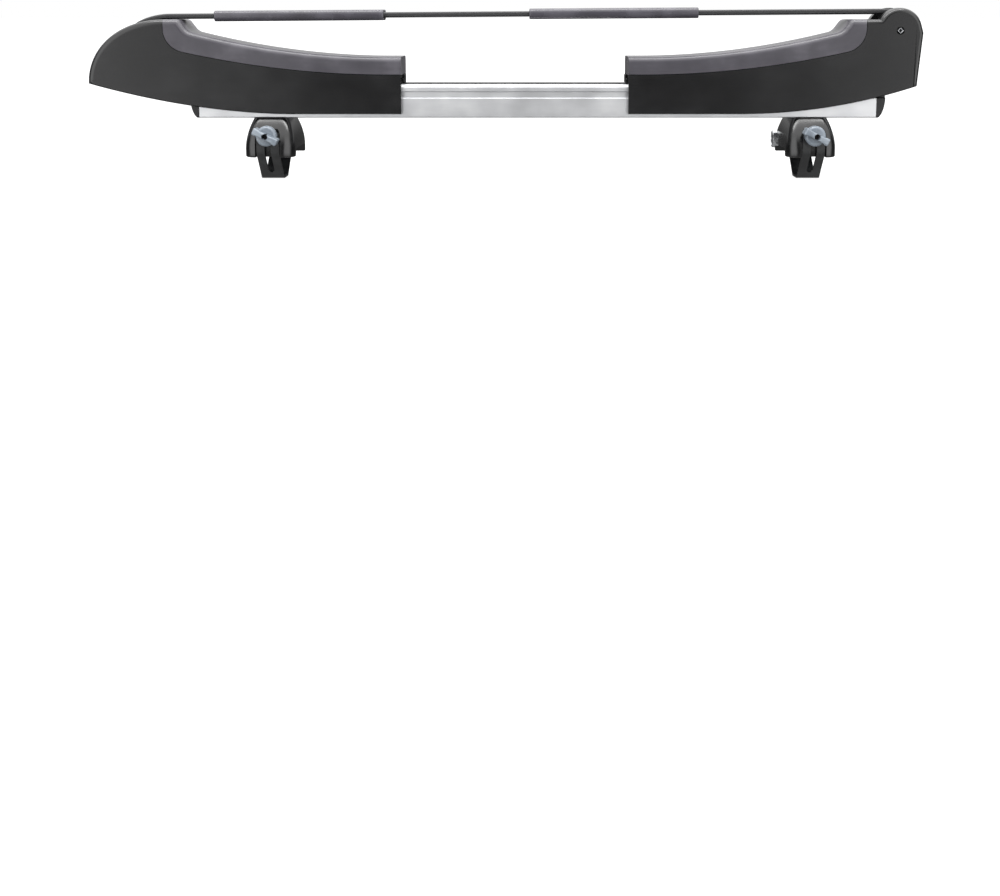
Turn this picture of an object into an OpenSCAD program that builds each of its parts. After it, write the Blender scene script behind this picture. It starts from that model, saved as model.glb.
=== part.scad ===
// Roof carrier for one paddleboard. It clamps on top of a car's load bar and lies along it.
// Two padded arms slide on an aluminium rail, and a webbing strap runs from arm to arm over the board.
// Frame: +X along the rail, +Y to the back, +Z up. The origin lies midway along the rail, at the
// height where the rubber seats of the feet rest on the load bar.

/* [Rail] */
// Length of the aluminium rail
rail_l = 748; // [720:1:800]
// Height of the rail
rail_h = 36.5; // [34:0.5:40]
// Depth of the rail, front to back
rail_d = 62; // [56:1:70]
// Wall of the extrusion
rail_wall = 2.4; // [2:0.1:3.2]
// Height of the runner groove's lower ledge
groove_z = 21.6; // [18:0.1:22]
// Height of the runner groove
groove_h = 7.6; // [6:0.1:9]
// Depth of the runner groove
groove_depth = 2.8; // [2:0.1:3.4]
// Width of the bolt slot's mouth on the underside
bolt_slot_w = 8.4; // [7:0.1:9]
// Length of each end cap
cap_l = 10; // [6:0.5:14]

/* [Arms] */
// Depth of the arms, front to back
arm_d = 72; // [70:1:84]
// Wall of the arm mouldings
arm_wall = 3.2; // [2.4:0.1:3.6]
// Rounding of the long edges
edge_r = 6; // [4:0.5:8]
// Distance from the middle of the rail to the left arm's inner end
left_inner = 150.4; // [140:0.1:160]
// Distance from the middle of the rail to the right arm's inner end
right_inner = 99.9; // [92:0.1:108]
// Height of the arms' lower edge above the rail's underside
belly_z = 3.9; // [2:0.1:8]
// Distance from the inner end at which the lower edge starts to rise
belly_start = 119.6; // [100:0.1:140]
// Steps that each arm can be drawn out by
latch_steps = 6; // [4:1:7]
// Distance between two latch notches
notch_pitch = 14; // [12:0.5:15]

/* [Pads] */
// Length of the pads
pad_l = 258.6; // [240:0.1:280]
// Thickness of the pads at the inner end
pad_t = 19.6; // [14:0.1:24]
// Height of the pad's seat above the rail's top at the inner end
deck_h = 10.7; // [10:0.1:14]
// Height of the stop at the pad's outer end, above the rail's underside
stop_z = 107.7; // [100:0.1:116]
// Width of the flat top of that stop
stop_w = 15.8; // [12:0.1:22]
// Slope of the stop's inner face, in degrees
stop_angle = 53; // [45:1:65]
// Radius of the pad's lower outer corner
pad_corner_r = 26; // [20:0.5:32]
// Rubber's wall over the hollow in the pad
pad_wall = 6; // [4:0.5:8]

/* [Nose and tail] */
// Length of the left nose beyond the pad
nose_l = 82.5; // [74:0.1:96]
// Height of the nose's lowest point above the rail's underside
nose_tip_z = 37.7; // [30:0.1:44]
// Length of the right tail beyond the pad, at its foot
tail_l = 57.9; // [54:0.1:64]
// Height of the tail's lowest point at its end
tail_tip_z = 35.9; // [30:0.1:42]
// Distance from the pad to the roller's axis
ear_u = 38.4; // [36:0.1:42]
// Height of the roller's axis above the rail's underside
ear_z = 95.6; // [90:0.1:100]
// Radius of the ears
ear_r = 24.75; // [23:0.05:28]
// Thickness of one ear
ear_t = 16; // [12:0.5:18]

/* [Strap] */
// Width of the webbing
strap_w = 26; // [20:0.5:30]
// Thickness of the webbing
strap_t = 5.2; // [3:0.1:6]
// Radius of the roller under the strap
roller_r = 18; // [14:0.1:19]
// Length of the left sleeve
left_sleeve_l = 191; // [120:1:200]
// Length of the right sleeve
right_sleeve_l = 188.5; // [120:1:200]
// Width of the sleeves
sleeve_w = 36; // [34:0.5:44]
// Thickness of the sleeves
sleeve_t = 11; // [9:0.1:13]

/* [Feet] */
// Distance between the middles of the two feet
foot_span = 595; // [480:1:600]
// Shift of the two feet along the rail
foot_shift = 3.3; // [-5:0.1:5]
// Height from the load bar to the rail
foot_h = 36; // [34:0.5:42]
// Width of a foot at its lips
foot_w = 52.6; // [48:0.1:60]
// Width of a foot under the rail
foot_top_w = 41; // [36:0.5:46]
// Depth of a foot at its lips
foot_d = 100; // [96:1:108]
// Depth of a foot under the rail
foot_top_d = 66; // [60:1:74]
// Reach of the lips below the load bar's top
lip_h = 5.4; // [3:0.1:8]
// Thickness of the rubber seat
seat_t = 2.5; // [1.5:0.1:4]

/* [Clamp band] */
// Width of the band
band_w = 25; // [20:0.5:27]
// Thickness of the band
band_t = 2.6; // [2:0.1:3.2]
// Width of the slot between the band's two legs
fork_w = 6.9; // [6.5:0.1:8]
// Depth of the band below the load bar's top
band_drop = 32.8; // [28:0.1:40]
// Distance from the foot's middle to the hinge pin
hinge_y = 40; // [38:0.5:42]
// Depth of the hinge pin below the rail
hinge_drop = 29; // [26:0.5:30]
// Distance from the foot's middle to the band, towards the outer side
band_out = 2.7; // [0:0.1:4]

/* [Knob and locks] */
// Radius of the knob's hub
knob_r = 11.7; // [9:0.1:12]
// Length of the knob's wing
wing_l = 29; // [24:0.5:32]
// Height of the clamp bolt's axis below the rail
bolt_drop = 18.5; // [17:0.5:20]
// Radius of the foot lock's flange
foot_lock_r = 10; // [8:0.1:11]
// Radius of the nose lock's flange
nose_lock_r = 8.6; // [6:0.1:10]

/* [Hidden] */
$fn = 48;

plastic = "#2c2c2d";
rubber_grey = "#5e5c63";
webbing = "#2f3032";
alloy = "#c9cacb";
steel = "#a9acb0";
knob_grey = "#8b9299";
band_grey = "#3a3b3c";
seat_black = "#1c1c1d";

slide_gap = 0.3;
fit_gap = 0.05;
cut = 1;
arc_steps = 6;
rail_z = foot_h;

// outlines of the arms are drawn as [distance from the inner end, height above the rail's underside]
pad_low_z = rail_h + deck_h;
pad_top_z = pad_low_z + pad_t;
bow_start = 14.6;
low_bow_r = 1020.408;
top_bow_r = 868.0556;
low_bow = 1 / (2 * low_bow_r);
top_bow = 1 / (2 * top_bow_r);
belly_power = 1.87;
tail_belly_power = 2.1;
nose_power = 2.3;
nose_end = pad_l + nose_l;
tail_end = pad_l + tail_l;
ear_end = pad_l + ear_u;
hollow_end = pad_l - 5;
arm_in = arm_d / 2 - arm_wall;
outline_step = 14;

function unit(v) = v / norm(v);
function pad_low(u) = pad_low_z + low_bow * pow(max(0, u - bow_start), 2);
function pad_top(u) = pad_top_z + top_bow * pow(max(0, u - bow_start), 2);
function belly(u, reach, low, power) =
    belly_z + (low - belly_z) * pow(max(0, u - belly_start) / (reach - belly_start), power);

// points of an arc about a centre, from one angle to another
function arc(centre, r, from, to, steps = arc_steps) =
    [for (i = [0:steps]) let (a = from + (to - from) * i / steps) centre + r * [cos(a), sin(a)]];

// a corner b between the neighbours a and c, rounded by an arc of radius r
function round_corner(a, b, c, r) =
    let (
        to_a = unit(a - b),
        to_c = unit(c - b),
        half = acos(to_a * to_c) / 2,
        centre = b + unit(to_a + to_c) * r / sin(half),
        start = b + to_a * r / tan(half) - centre,
        end = b + to_c * r / tan(half) - centre,
        first = atan2(start[1], start[0]),
        turn = (atan2(end[1], end[0]) - first + 540) % 360 - 180
    )
    arc(centre, r, first, first + turn);

// the pad's seat on the housing: a shallow bow, a round corner and the stop's outer side
corner_u = pad_l - pad_corner_r;
corner_slope = atan(2 * low_bow * (corner_u - bow_start));
corner_meet = corner_u + pad_corner_r * sin(corner_slope);
corner_z = pad_low(corner_meet) + pad_corner_r * cos(corner_slope);
seat_line = concat(
    [for (i = [0:outline_step]) let (u = corner_meet * i / outline_step) [u, pad_low(u)]],
    [for (i = [1:arc_steps]) let (a = corner_slope - 90 + (90 - corner_slope) * i / arc_steps)
        [corner_u, corner_z] + pad_corner_r * [cos(a), sin(a)]]
);
function reversed(list) = [for (i = [len(list) - 1:-1:0]) list[i]];

// the pad's upper side: the bow, a hollow fillet, the stop's slope and its rounded top corner
stop_u = pad_l - stop_w;
foot_u = pad_l - 36.6;
slope_tan = tan(stop_angle);
bow_tan = 2 * top_bow * (foot_u - bow_start);
slope_u = (stop_u * slope_tan - stop_z - foot_u * bow_tan + pad_top(foot_u)) / (slope_tan - bow_tan);
slope_low = [slope_u, pad_top(foot_u) + bow_tan * (slope_u - foot_u)];
slope_high = [stop_u, stop_z];
pad_upper = concat(
    [for (i = [0:outline_step]) let (u = foot_u * i / outline_step) [u, pad_top(u)]],
    round_corner([foot_u, pad_top(foot_u)], slope_low, slope_high, 14),
    round_corner(slope_low, slope_high, [pad_l, stop_z], 5)
);

nose_belly = [for (i = [0:outline_step])
    let (u = belly_start + (nose_end - 1.6 - belly_start) * i / outline_step)
    [u, belly(u, nose_end, nose_tip_z, belly_power)]];
nose_front = [for (i = [0:outline_step]) let (a = 90 * i / outline_step)
    [pad_l + nose_l * pow(cos(a), 2 / nose_power),
     nose_tip_z + (stop_z - nose_tip_z) * pow(sin(a), 2 / nose_power)]];
nose_outline = concat([[0, belly_z]], nose_belly, nose_front, reversed(seat_line));
nose_soft = concat(
    [for (i = [0:len(nose_belly)]) 0.3],
    [for (i = [1:len(nose_front) - 1]) 1],
    [for (i = [0:len(seat_line)]) 0]
);

tail_belly = [for (i = [0:outline_step])
    let (u = belly_start + (tail_end - belly_start) * i / outline_step)
    [u, belly(u, tail_end, tail_tip_z, tail_belly_power)]];
tail_tangent = 15;
tail_corner = [ear_end + ear_r * cos(tail_tangent) + (ear_r * sin(tail_tangent) + 2.6) * tan(tail_tangent),
               ear_z - 2.6];
ear_left = 180 - asin((stop_z - ear_z) / ear_r);
tail_front = concat([tail_corner], arc([ear_end, ear_z], ear_r, tail_tangent, ear_left, 2 * arc_steps),
    [[pad_l, stop_z]]);
tail_outline = concat([[0, belly_z]], tail_belly, tail_front, reversed(seat_line));
tail_soft = concat(
    [for (i = [0:len(tail_belly) - 1]) 0.3],
    [for (i = [0:len(tail_front) - 1]) 0.75],
    [for (i = [0:len(seat_line)]) 0]
);

pad_outline = concat(seat_line, [[pad_l, stop_z]], reversed(pad_upper));
pad_soft = concat(
    [for (i = [1:len(seat_line)]) 0],
    [for (i = [0:len(pad_upper) - 1]) 1],
    [0]
);

// outward normal of an outline's edge that runs from p to q, the outline turning anticlockwise
function edge_normal(p, q) = let (d = unit(q - p)) [d[1], -d[0]];
// a corner moved inwards by its two edges' own insets
function inset_corner(p, n1, n2, d1, d2) =
    let (c = n1 * n2)
    d1 == d2 ? p - (n1 + n2) * d1 / (1 + c)
             : p + (n1 * (c * d2 - d1) + n2 * (c * d1 - d2)) / (1 - c * c);
function inset_outline(points, soft, inset) =
    let (n = len(points))
    [for (i = [0:n - 1])
        let (before = (i + n - 1) % n, after = (i + 1) % n)
        inset_corner(points[i],
            edge_normal(points[before], points[i]), edge_normal(points[i], points[after]),
            soft[before] * inset, soft[i] * inset)];

// triangles that fill an outline which starts at the lower inner corner and ends at the upper one,
// taken outwards between its lower line (i) and its upper line (j)
function strip(points, i, j) =
    j - i < 2 ? []
    : points[i][0] < points[j - 1][0] ? concat([[i, i + 1, j]], strip(points, i + 1, j))
    : concat([[i, j - 1, j]], strip(points, i, j - 1));

// a moulding with the given side outline, whose front and back edges are rounded.
// soft says for each edge of the outline how much of the rounding it takes.
module rounded_moulding(points, soft, depth, r) {
    steps = 4;
    n = len(points);
    rings = concat(
        [for (i = [0:steps]) let (a = 90 * i / steps) [r * (1 - sin(a)), -depth / 2 + r * (1 - cos(a))]],
        [for (i = [steps:-1:0]) let (a = 90 * i / steps) [r * (1 - sin(a)), depth / 2 - r * (1 - cos(a))]]
    );
    corners = [for (ring = rings) for (p = inset_outline(points, soft, ring[0])) [p[0], ring[1], p[1]]];
    last = (len(rings) - 1) * n;
    end_face = strip(inset_outline(points, soft, r), 0, n - 1);
    polyhedron(corners, concat(
        [for (t = end_face) reversed(t)],
        [for (k = [0:len(rings) - 2]) for (i = [0:n - 1])
            let (a = k * n + i, b = k * n + (i + 1) % n) [a, b, b + n, a + n]],
        [for (t = end_face) [t[0] + last, t[1] + last, t[2] + last]]
    ));
}

// an outline of the XZ plane given the depth d along Y, centred
module along_y(d) {
    translate([0, d / 2, 0]) rotate([90, 0, 0]) linear_extrude(d) children();
}
// an outline of the YZ plane given the length l along X, from x = 0
module along_x(l) {
    rotate([90, 0, 90]) linear_extrude(l) children();
}
module rod_y(r, d) {
    rotate([90, 0, 0]) cylinder(r = r, h = d, center = true);
}
module rod_x(r, l) {
    rotate([0, 90, 0]) cylinder(r = r, h = l);
}
// a rectangle with round corners, centred
module soft_rect(w, h, r) {
    square([w - 2 * r, h], center = true);
    square([w, h - 2 * r], center = true);
    for (x = [-1, 1], y = [-1, 1]) translate([x * (w / 2 - r), y * (h / 2 - r)]) circle(r);
}
module on_rail() {
    translate([0, 0, rail_z]) children();
}
module left_side() {
    translate([-left_inner, 0, rail_z]) mirror([1, 0, 0]) children();
}
module right_side() {
    translate([right_inner, 0, rail_z]) children();
}

// Rail

shoulder_y = rail_d / 2 - 0.5;
shoulder_z = groove_z + groove_h;
shoulder_r = 4;
slot_in_w = 16;
slot_in_h = 6.4;
rack_w = 20;
rack_t = 3.4;
rack_proud = 1;

// half of the extrusion's outside, from the middle of the underside to the middle of the top
rail_half = concat(
    [[0, 0]],
    arc([rail_d / 2 - 1.5, 1.5], 1.5, -90, 0),
    [[rail_d / 2, groove_z], [rail_d / 2 - groove_depth, groove_z + 0.8],
     [rail_d / 2 - groove_depth, shoulder_z - 0.8], [shoulder_y, shoulder_z]],
    arc([shoulder_y - shoulder_r, rail_h - shoulder_r], shoulder_r, 0, 90),
    [[0, rail_h]]
);
module rail_outside() {
    polygon(concat(rail_half, [for (p = reversed(rail_half)) if (p[0] > 0) [-p[0], p[1]]]));
}
module rail() {
    web_x = slot_in_w / 2 + rail_wall;
    side_in = rail_d / 2 - groove_depth - rail_wall;
    low_h = groove_z - rail_wall;
    top_in = rail_h - rack_t - 2 * rail_wall;
    color(alloy) on_rail() translate([-rail_l / 2, 0, 0]) along_x(rail_l) difference() {
        rail_outside();
        translate([0, rail_wall / 2]) square([bolt_slot_w, rail_wall + 2 * cut], center = true);
        translate([-slot_in_w / 2, rail_wall]) square([slot_in_w, slot_in_h]);
        for (s = [0, 1]) mirror([s, 0]) {
            translate([web_x, rail_wall]) square([rail_d / 2 - rail_wall - web_x, low_h - rail_wall]);
            translate([web_x, groove_z]) square([side_in - web_x, rail_h - rail_wall - groove_z - 2]);
        }
        translate([-slot_in_w / 2, slot_in_h + 2 * rail_wall])
            square([slot_in_w, top_in - slot_in_h - rail_wall]);
        translate([-rack_w / 2, rail_h - rack_t + rack_proud]) square([rack_w, rack_t + cut]);
    }
}

// a cap's side outline is a quarter of an ellipse, fuller towards the top
module rail_cap() {
    plug_l = 18;
    plug_gap = 0.2;
    web_x = slot_in_w / 2 + rail_wall;
    bulge_h = 0.67 * rail_h;
    cap_side = concat(
        [[0, 0]],
        [for (i = [0:arc_steps]) let (a = 78 * (1 - i / arc_steps))
            [cap_l * cos(a), bulge_h * (1 - sin(a) / sin(78))]],
        [[cap_l, rail_h], [0, rail_h]]
    );
    intersection() {
        along_x(cap_l) rail_outside();
        along_y(rail_d + 2 * cut) polygon(cap_side);
    }
    for (s = [0, 1]) mirror([0, s, 0])
        translate([-plug_l, web_x + plug_gap, rail_wall + plug_gap])
            cube([plug_l, rail_d / 2 - rail_wall - web_x - 2 * plug_gap,
                  groove_z - 2 * rail_wall - 2 * plug_gap]);
}
module left_rail_cap() {
    color(plastic) on_rail() mirror([1, 0, 0]) translate([rail_l / 2, 0, 0]) rail_cap();
}
module right_rail_cap() {
    color(plastic) on_rail() translate([rail_l / 2, 0, 0]) rail_cap();
}

// a black strip in the top of the rail, with seven notches for each arm's latch
tooth_u = 12;
notch_w = 6;
notch_deep = 2.2;
rack_top = rail_h + rack_proud;
module latch_rack() {
    rack_end_gap = 0.5;
    color(plastic) on_rail() difference() {
        translate([-rail_l / 2 + rack_end_gap, -rack_w / 2, rail_h - rack_t + rack_proud])
            cube([rail_l - 2 * rack_end_gap, rack_w, rack_t]);
        for (i = [0:latch_steps]) {
            translate([-left_inner - tooth_u - i * notch_pitch, 0, rack_top]) notch();
            translate([right_inner + tooth_u + i * notch_pitch, 0, rack_top]) notch();
        }
    }
}
module notch() {
    cube([notch_w, rack_w - 4, 2 * notch_deep], center = true);
}

// Arms

lever_pin_u = 34;
lever_pin_z = rack_top + 3.5;
lever_pin_r = 2;
lever_w = 30;
lever_low = rack_top + 0.8;
lever_t = 3.4;
lug_t = 3.6;
lever_barrel_r = 3.2;

// the hollow for the rail and the latch, open at the bottom and at the inner end
module arm_hollow(rail_reach) {
    rib_t = 2.4;
    rib_low = rack_top + 2;
    ceiling = [for (i = [outline_step:-1:0]) let (u = hollow_end * i / outline_step)
        [u, pad_low(u) - arm_wall]];
    difference() {
        along_y(2 * arm_in) polygon(concat(
            [[-cut, -cut], [hollow_end, -cut]], ceiling, [[-cut, pad_low_z - arm_wall]]));
        for (k = [1:3]) translate([k * hollow_end / 4, -arm_in - cut, rib_low])
            cube([rib_t, 2 * (arm_in + cut), stop_z]);
    }
    translate([hollow_end - cut, -arm_in, -cut])
        cube([max(0, rail_reach - hollow_end) + cut, 2 * arm_in, rail_h + 2 * cut]);
    // room above the lever, cut out of the deck
    translate([-cut, -lever_w / 2 - cut, rack_top])
        cube([lever_pin_u / 2, lever_w + 2 * cut, pad_low_z - rack_top - 1.2]);
}
// two runners that slide in the rail's grooves, and the lugs that hold the lever's pin
module arm_fittings() {
    runner_in = rail_d / 2 - groove_depth + slide_gap;
    for (s = [0, 1]) mirror([0, s, 0]) {
        translate([4, runner_in, groove_z + 0.8 + slide_gap])
            cube([hollow_end - 26, arm_in - runner_in + cut, groove_h - 1.6 - 2 * slide_gap]);
        difference() {
            translate([lever_pin_u - 5, lever_w / 2 + slide_gap, rack_top + 0.6])
                cube([10, lug_t, pad_low_z - arm_wall - rack_top + cut]);
            translate([lever_pin_u, 0, lever_pin_z]) rod_y(lever_pin_r + fit_gap, 2 * arm_d);
        }
    }
}

// strap's way: a straight run between the arms, bent into the nose on the left and round the roller
// on the right. Its points are [x, height above the rail's underside] on the strap's middle.
over_stop = 0.2;
run_left = [-left_inner - pad_l + 4, stop_z + strap_t / 2 + over_stop];
wrap_r = roller_r + slide_gap + strap_t / 2;
roller_x = right_inner + ear_end;
run_rise = atan((ear_z + wrap_r - run_left[1]) / (roller_x - run_left[0]));
first_bend = 24;
first_r = 80;
second_bend = 62;
second_r = 26;
first_centre = run_left - first_r * [sin(-run_rise), cos(run_rise)];
bend_end = first_centre + first_r * [cos(90 + run_rise + first_bend), sin(90 + run_rise + first_bend)];
second_centre = first_centre + (first_r - second_r) * unit(bend_end - first_centre);
nose_strap = concat(
    arc(first_centre, first_r, 90 + run_rise, 90 + run_rise + first_bend),
    arc(second_centre, second_r, 90 + run_rise + first_bend + second_bend / arc_steps,
        90 + run_rise + first_bend + second_bend, arc_steps - 1)
);
strap_drop = 10;
drop_angle = 90 + run_rise + first_bend + second_bend;
nose_strap_end = nose_strap[len(nose_strap) - 1] + strap_drop * [-sin(drop_angle), cos(drop_angle)];
wrap_end = -20;
tail_run = 36;
tail_strap = arc([roller_x, ear_z], wrap_r, 90 + run_rise, wrap_end, 2 * arc_steps);
tail_strap_end = tail_strap[len(tail_strap) - 1] + tail_run * [sin(wrap_end), -cos(wrap_end)];
strap_way = concat([nose_strap_end], reversed(nose_strap), tail_strap, [tail_strap_end]);

function way_normal(way, i) =
    let (n = len(way), d = unit(way[min(i + 1, n - 1)] - way[max(i - 1, 0)])) [-d[1], d[0]];
function ribbon(way, t) = concat(
    [for (i = [0:len(way) - 1]) way[i] + way_normal(way, i) * t / 2],
    [for (i = [len(way) - 1:-1:0]) way[i] - way_normal(way, i) * t / 2]
);

nose_lock_z = 54;
nose_lock_x = -left_inner - nose_end;
tongue_top = nose_strap_end[1];
tongue_x = nose_strap_end[0];
tongue_t = 2.5;
tongue_low = nose_lock_z - 11;
channel_gap = 1.2;

// the strap's open channel over the nose, its slot, the pocket for the tongue and the lock's bore
module nose_openings() {
    channel_w = strap_w + 2 * channel_gap;
    way = concat([run_left + [20, 0]], nose_strap, [nose_strap_end]);
    n = len(way);
    tunnel = 5;
    along_y(channel_w) polygon(concat(
        [for (i = [0:n - 1]) way[i] + way_normal(way, i) * (strap_t / 2 + channel_gap)],
        [for (i = [n - 1:-1:n - tunnel]) way[i] - way_normal(way, i) * (strap_t / 2 + channel_gap)],
        [[way[n - tunnel][0], stop_z + 10], [way[0][0], stop_z + 10]]
    ));
    translate([tongue_x - 7, -14, tongue_low - 2]) cube([15, 28, tongue_top + 8 - tongue_low]);
    translate([nose_lock_x - 5, 0, nose_lock_z]) {
        along_x(5 + bezel_deep) bezel_outline(slide_gap);
        rod_x(lock_core_r + fit_gap, 30);
        rod_x(3.4, tongue_x - nose_lock_x);
    }
}
lock_core_r = 7;
bezel_deep = 11;
bezel_proud = 1.4;
bezel_rim = 2.4;
bezel_up = 14;
bezel_top_r = 4.5;
// an egg with its point up: two circles and their common tangents
module bezel_outline(gap) {
    low_r = nose_lock_r + bezel_rim + gap;
    top_r = bezel_top_r + gap;
    lean = asin((low_r - top_r) / bezel_up);
    circle(low_r);
    translate([0, bezel_up]) circle(top_r);
    polygon([
        low_r * [cos(lean), sin(lean)], top_r * [cos(lean), sin(lean)] + [0, bezel_up],
        top_r * [-cos(lean), sin(lean)] + [0, bezel_up], low_r * [-cos(lean), sin(lean)]
    ]);
}

// cored pockets in the underside of the nose
module nose_pockets() {
    pocket_w = (arm_d - 4 * arm_wall) / 3;
    roof = 12;
    for (k = [-1:1], far = [0, 1]) if (k != 0 || far == 0)
        translate([hollow_end + 4 + 32 * far, k * (pocket_w + arm_wall) - pocket_w / 2, -cut])
            cube([28, pocket_w, nose_tip_z + roof - 12 * far]);
}

module left_arm_housing() {
    color(plastic) {
        difference() {
            left_side() rounded_moulding(nose_outline, nose_soft, arm_d, edge_r);
            left_side() arm_hollow(rail_l / 2 + cap_l + 2 - left_inner);
            left_side() nose_pockets();
            on_rail() nose_openings();
        }
        left_side() arm_fittings();
    }
}

slot_floor = 44;
// the deep slot between the ears, in which the roller and the cam lever sit
module tail_slot() {
    slot_w = arm_d - 2 * ear_t;
    back = ear_end - 5;
    along_y(slot_w) polygon(concat(
        [[tail_end + 30, slot_floor], [tail_end + 30, stop_z + 40], [pad_l + 8, stop_z + 40],
         [pad_l + 8, stop_z - 2]],
        arc([ear_end, ear_z], roller_r + 4, 165, 250),
        [[back, slot_floor]]
    ));
    translate([ear_end, 0, ear_z]) rod_y(bolt_r + fit_gap, arm_d + 2 * cut);
    translate([ear_end, -arm_d / 2, ear_z]) rod_y(bolt_head_r + 0.4, 2 * bolt_head_h);
    translate([ear_end, arm_d / 2, ear_z]) rod_y(nut_r + 0.4, 2 * nut_h);
    translate([cam_u, 0, cam_z]) rod_y(cam_pin_r + fit_gap, cam_pin_l);
}
bolt_r = 3;
bolt_head_r = 3.9;
bolt_head_h = 3;
nut_r = 5.8;
nut_h = 5;
cam_u = ear_end + 17.6;
cam_z = 61;
cam_pin_r = 2;
cam_pin_l = 54;

module right_arm_housing() {
    color(plastic) right_side() {
        difference() {
            rounded_moulding(tail_outline, tail_soft, arm_d, edge_r);
            arm_hollow(rail_l / 2 + cap_l + 2 - right_inner);
            tail_slot();
        }
        arm_fittings();
    }
}

// Pads

module arm_pad() {
    in_l = foot_u - pad_wall;
    difference() {
        rounded_moulding(pad_outline, pad_soft, arm_d, edge_r);
        along_y(arm_d - 2 * pad_wall) polygon(concat(
            [for (i = [0:outline_step]) let (u = pad_wall + (in_l - pad_wall) * i / outline_step)
                [u, pad_low(u) - cut]],
            [for (i = [outline_step:-1:0]) let (u = pad_wall + (in_l - pad_wall) * i / outline_step)
                [u, pad_top(u) - pad_wall]]
        ));
    }
}
module left_pad() {
    color(rubber_grey) left_side() arm_pad();
}
module right_pad() {
    color(rubber_grey) right_side() arm_pad();
}

// Release levers: a tab at the arm's inner end, a plate, a latch tooth and a hinge barrel

tab_out = 5;
tab_gap = 1.5;
module release_lever() {
    tab_h = pad_low_z - lever_low - 0.6;
    tooth_w = notch_w - 3 * slide_gap;
    tooth_low = rack_top - notch_deep + slide_gap;
    difference() {
        union() {
            translate([-tab_gap, -lever_w / 2, lever_low])
                cube([lever_pin_u + tab_gap, lever_w, lever_t]);
            translate([-tab_gap, 0, lever_low]) rotate([0, 0, 180]) linear_extrude(tab_h)
                intersection() {
                    translate([0, -lever_w / 2]) square([tab_out, lever_w]);
                    translate([tab_out - 40, 0]) circle(40, $fn = 96);
                }
            translate([tooth_u - tooth_w / 2, -(rack_w - 5) / 2, tooth_low])
                cube([tooth_w, rack_w - 5, lever_low - tooth_low + cut]);
            translate([lever_pin_u, 0, lever_pin_z]) rod_y(lever_barrel_r, lever_w);
        }
        translate([lever_pin_u, 0, lever_pin_z]) rod_y(lever_pin_r + fit_gap, lever_w + 2 * cut);
    }
}
module release_pin() {
    translate([lever_pin_u, 0, lever_pin_z]) rod_y(lever_pin_r, lever_w + 2 * lug_t + 2);
}
// a leaf of spring steel under the deck, arched down onto the lever
module release_spring() {
    leaf_t = 0.5;
    leaf_w = 12;
    leaf_l = 12;
    top = pad_low_z - arm_wall;
    low = lever_low + lever_t + leaf_t;
    sag = top - low;
    leaf = [for (i = [0:8]) let (t = i / 8)
        [lever_pin_u - 3.6 - leaf_l * (1 - t), top - 0.1 - leaf_t / 2 - (sag - leaf_t) * sin(180 * t)]];
    along_y(leaf_w) polygon(ribbon(leaf, leaf_t));
}
module left_release_lever() {
    color(plastic) left_side() release_lever();
}
module right_release_lever() {
    color(plastic) right_side() release_lever();
}
module left_release_pin() {
    color(steel) left_side() release_pin();
}
module right_release_pin() {
    color(steel) right_side() release_pin();
}
module left_release_spring() {
    color(steel) left_side() release_spring();
}
module right_release_spring() {
    color(steel) right_side() release_spring();
}

// Nose lock

// its face follows the nose, a little proud of it
module nose_lock_bezel() {
    face = inset_outline(nose_outline, [for (p = nose_outline) 1], -bezel_proud);
    color(plastic) intersection() {
        on_rail() translate([nose_lock_x - 5, 0, nose_lock_z]) difference() {
            along_x(5 + bezel_deep - slide_gap) bezel_outline(0);
            translate([-cut, 0, 0]) rod_x(nose_lock_r + slide_gap, bezel_deep + 5 + 2 * cut);
        }
        left_side() along_y(arm_d) polygon(face);
    }
}
module lock_core(flange_r, core_r, core_l) {
    flange_t = 2.2;
    key_w = 2;
    key_h = 0.9 * core_r;
    difference() {
        union() {
            rod_x(flange_r, flange_t);
            rod_x(core_r, core_l);
        }
        translate([-cut, -key_w / 2, -key_h / 2]) cube([6, key_w, key_h]);
    }
}
module nose_lock_cylinder() {
    core_l = 26;
    start = nose_lock_x - bezel_proud - 0.4;
    shaft_end = tongue_x + tongue_t / 2 + 0.4;
    color(steel) on_rail() translate([0, 0, nose_lock_z]) {
        translate([start, 0, 0]) lock_core(nose_lock_r, lock_core_r, core_l);
        translate([start + core_l - cut, 0, 0]) rod_x(2.1, shaft_end - start - core_l + cut);
        translate([shaft_end - 0.2, -5, -1.5]) cube([2.8, 10, 3]);
    }
}
// a steel tongue crimped on the end of the strap, held behind the lock's cross bar
module strap_tongue() {
    ferrule = strap_t + 3;
    ferrule_h = 14;
    color(steel) on_rail() difference() {
        union() {
            translate([tongue_x - tongue_t / 2, -11, tongue_low]) cube([tongue_t, 22, tongue_top - tongue_low]);
            translate([tongue_x - ferrule / 2, -strap_w / 2 - 0.8, tongue_top - 5])
                cube([ferrule, strap_w + 1.6, ferrule_h - 5]);
        }
        translate([tongue_x - tongue_t, -2.6, nose_lock_z - 5.6]) cube([2 * tongue_t, 5.2, 11.2]);
        along_y(strap_w) polygon(ribbon(concat([nose_strap_end], reversed(nose_strap)), strap_t));
    }
}

// Roller and cam at the tail

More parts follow.
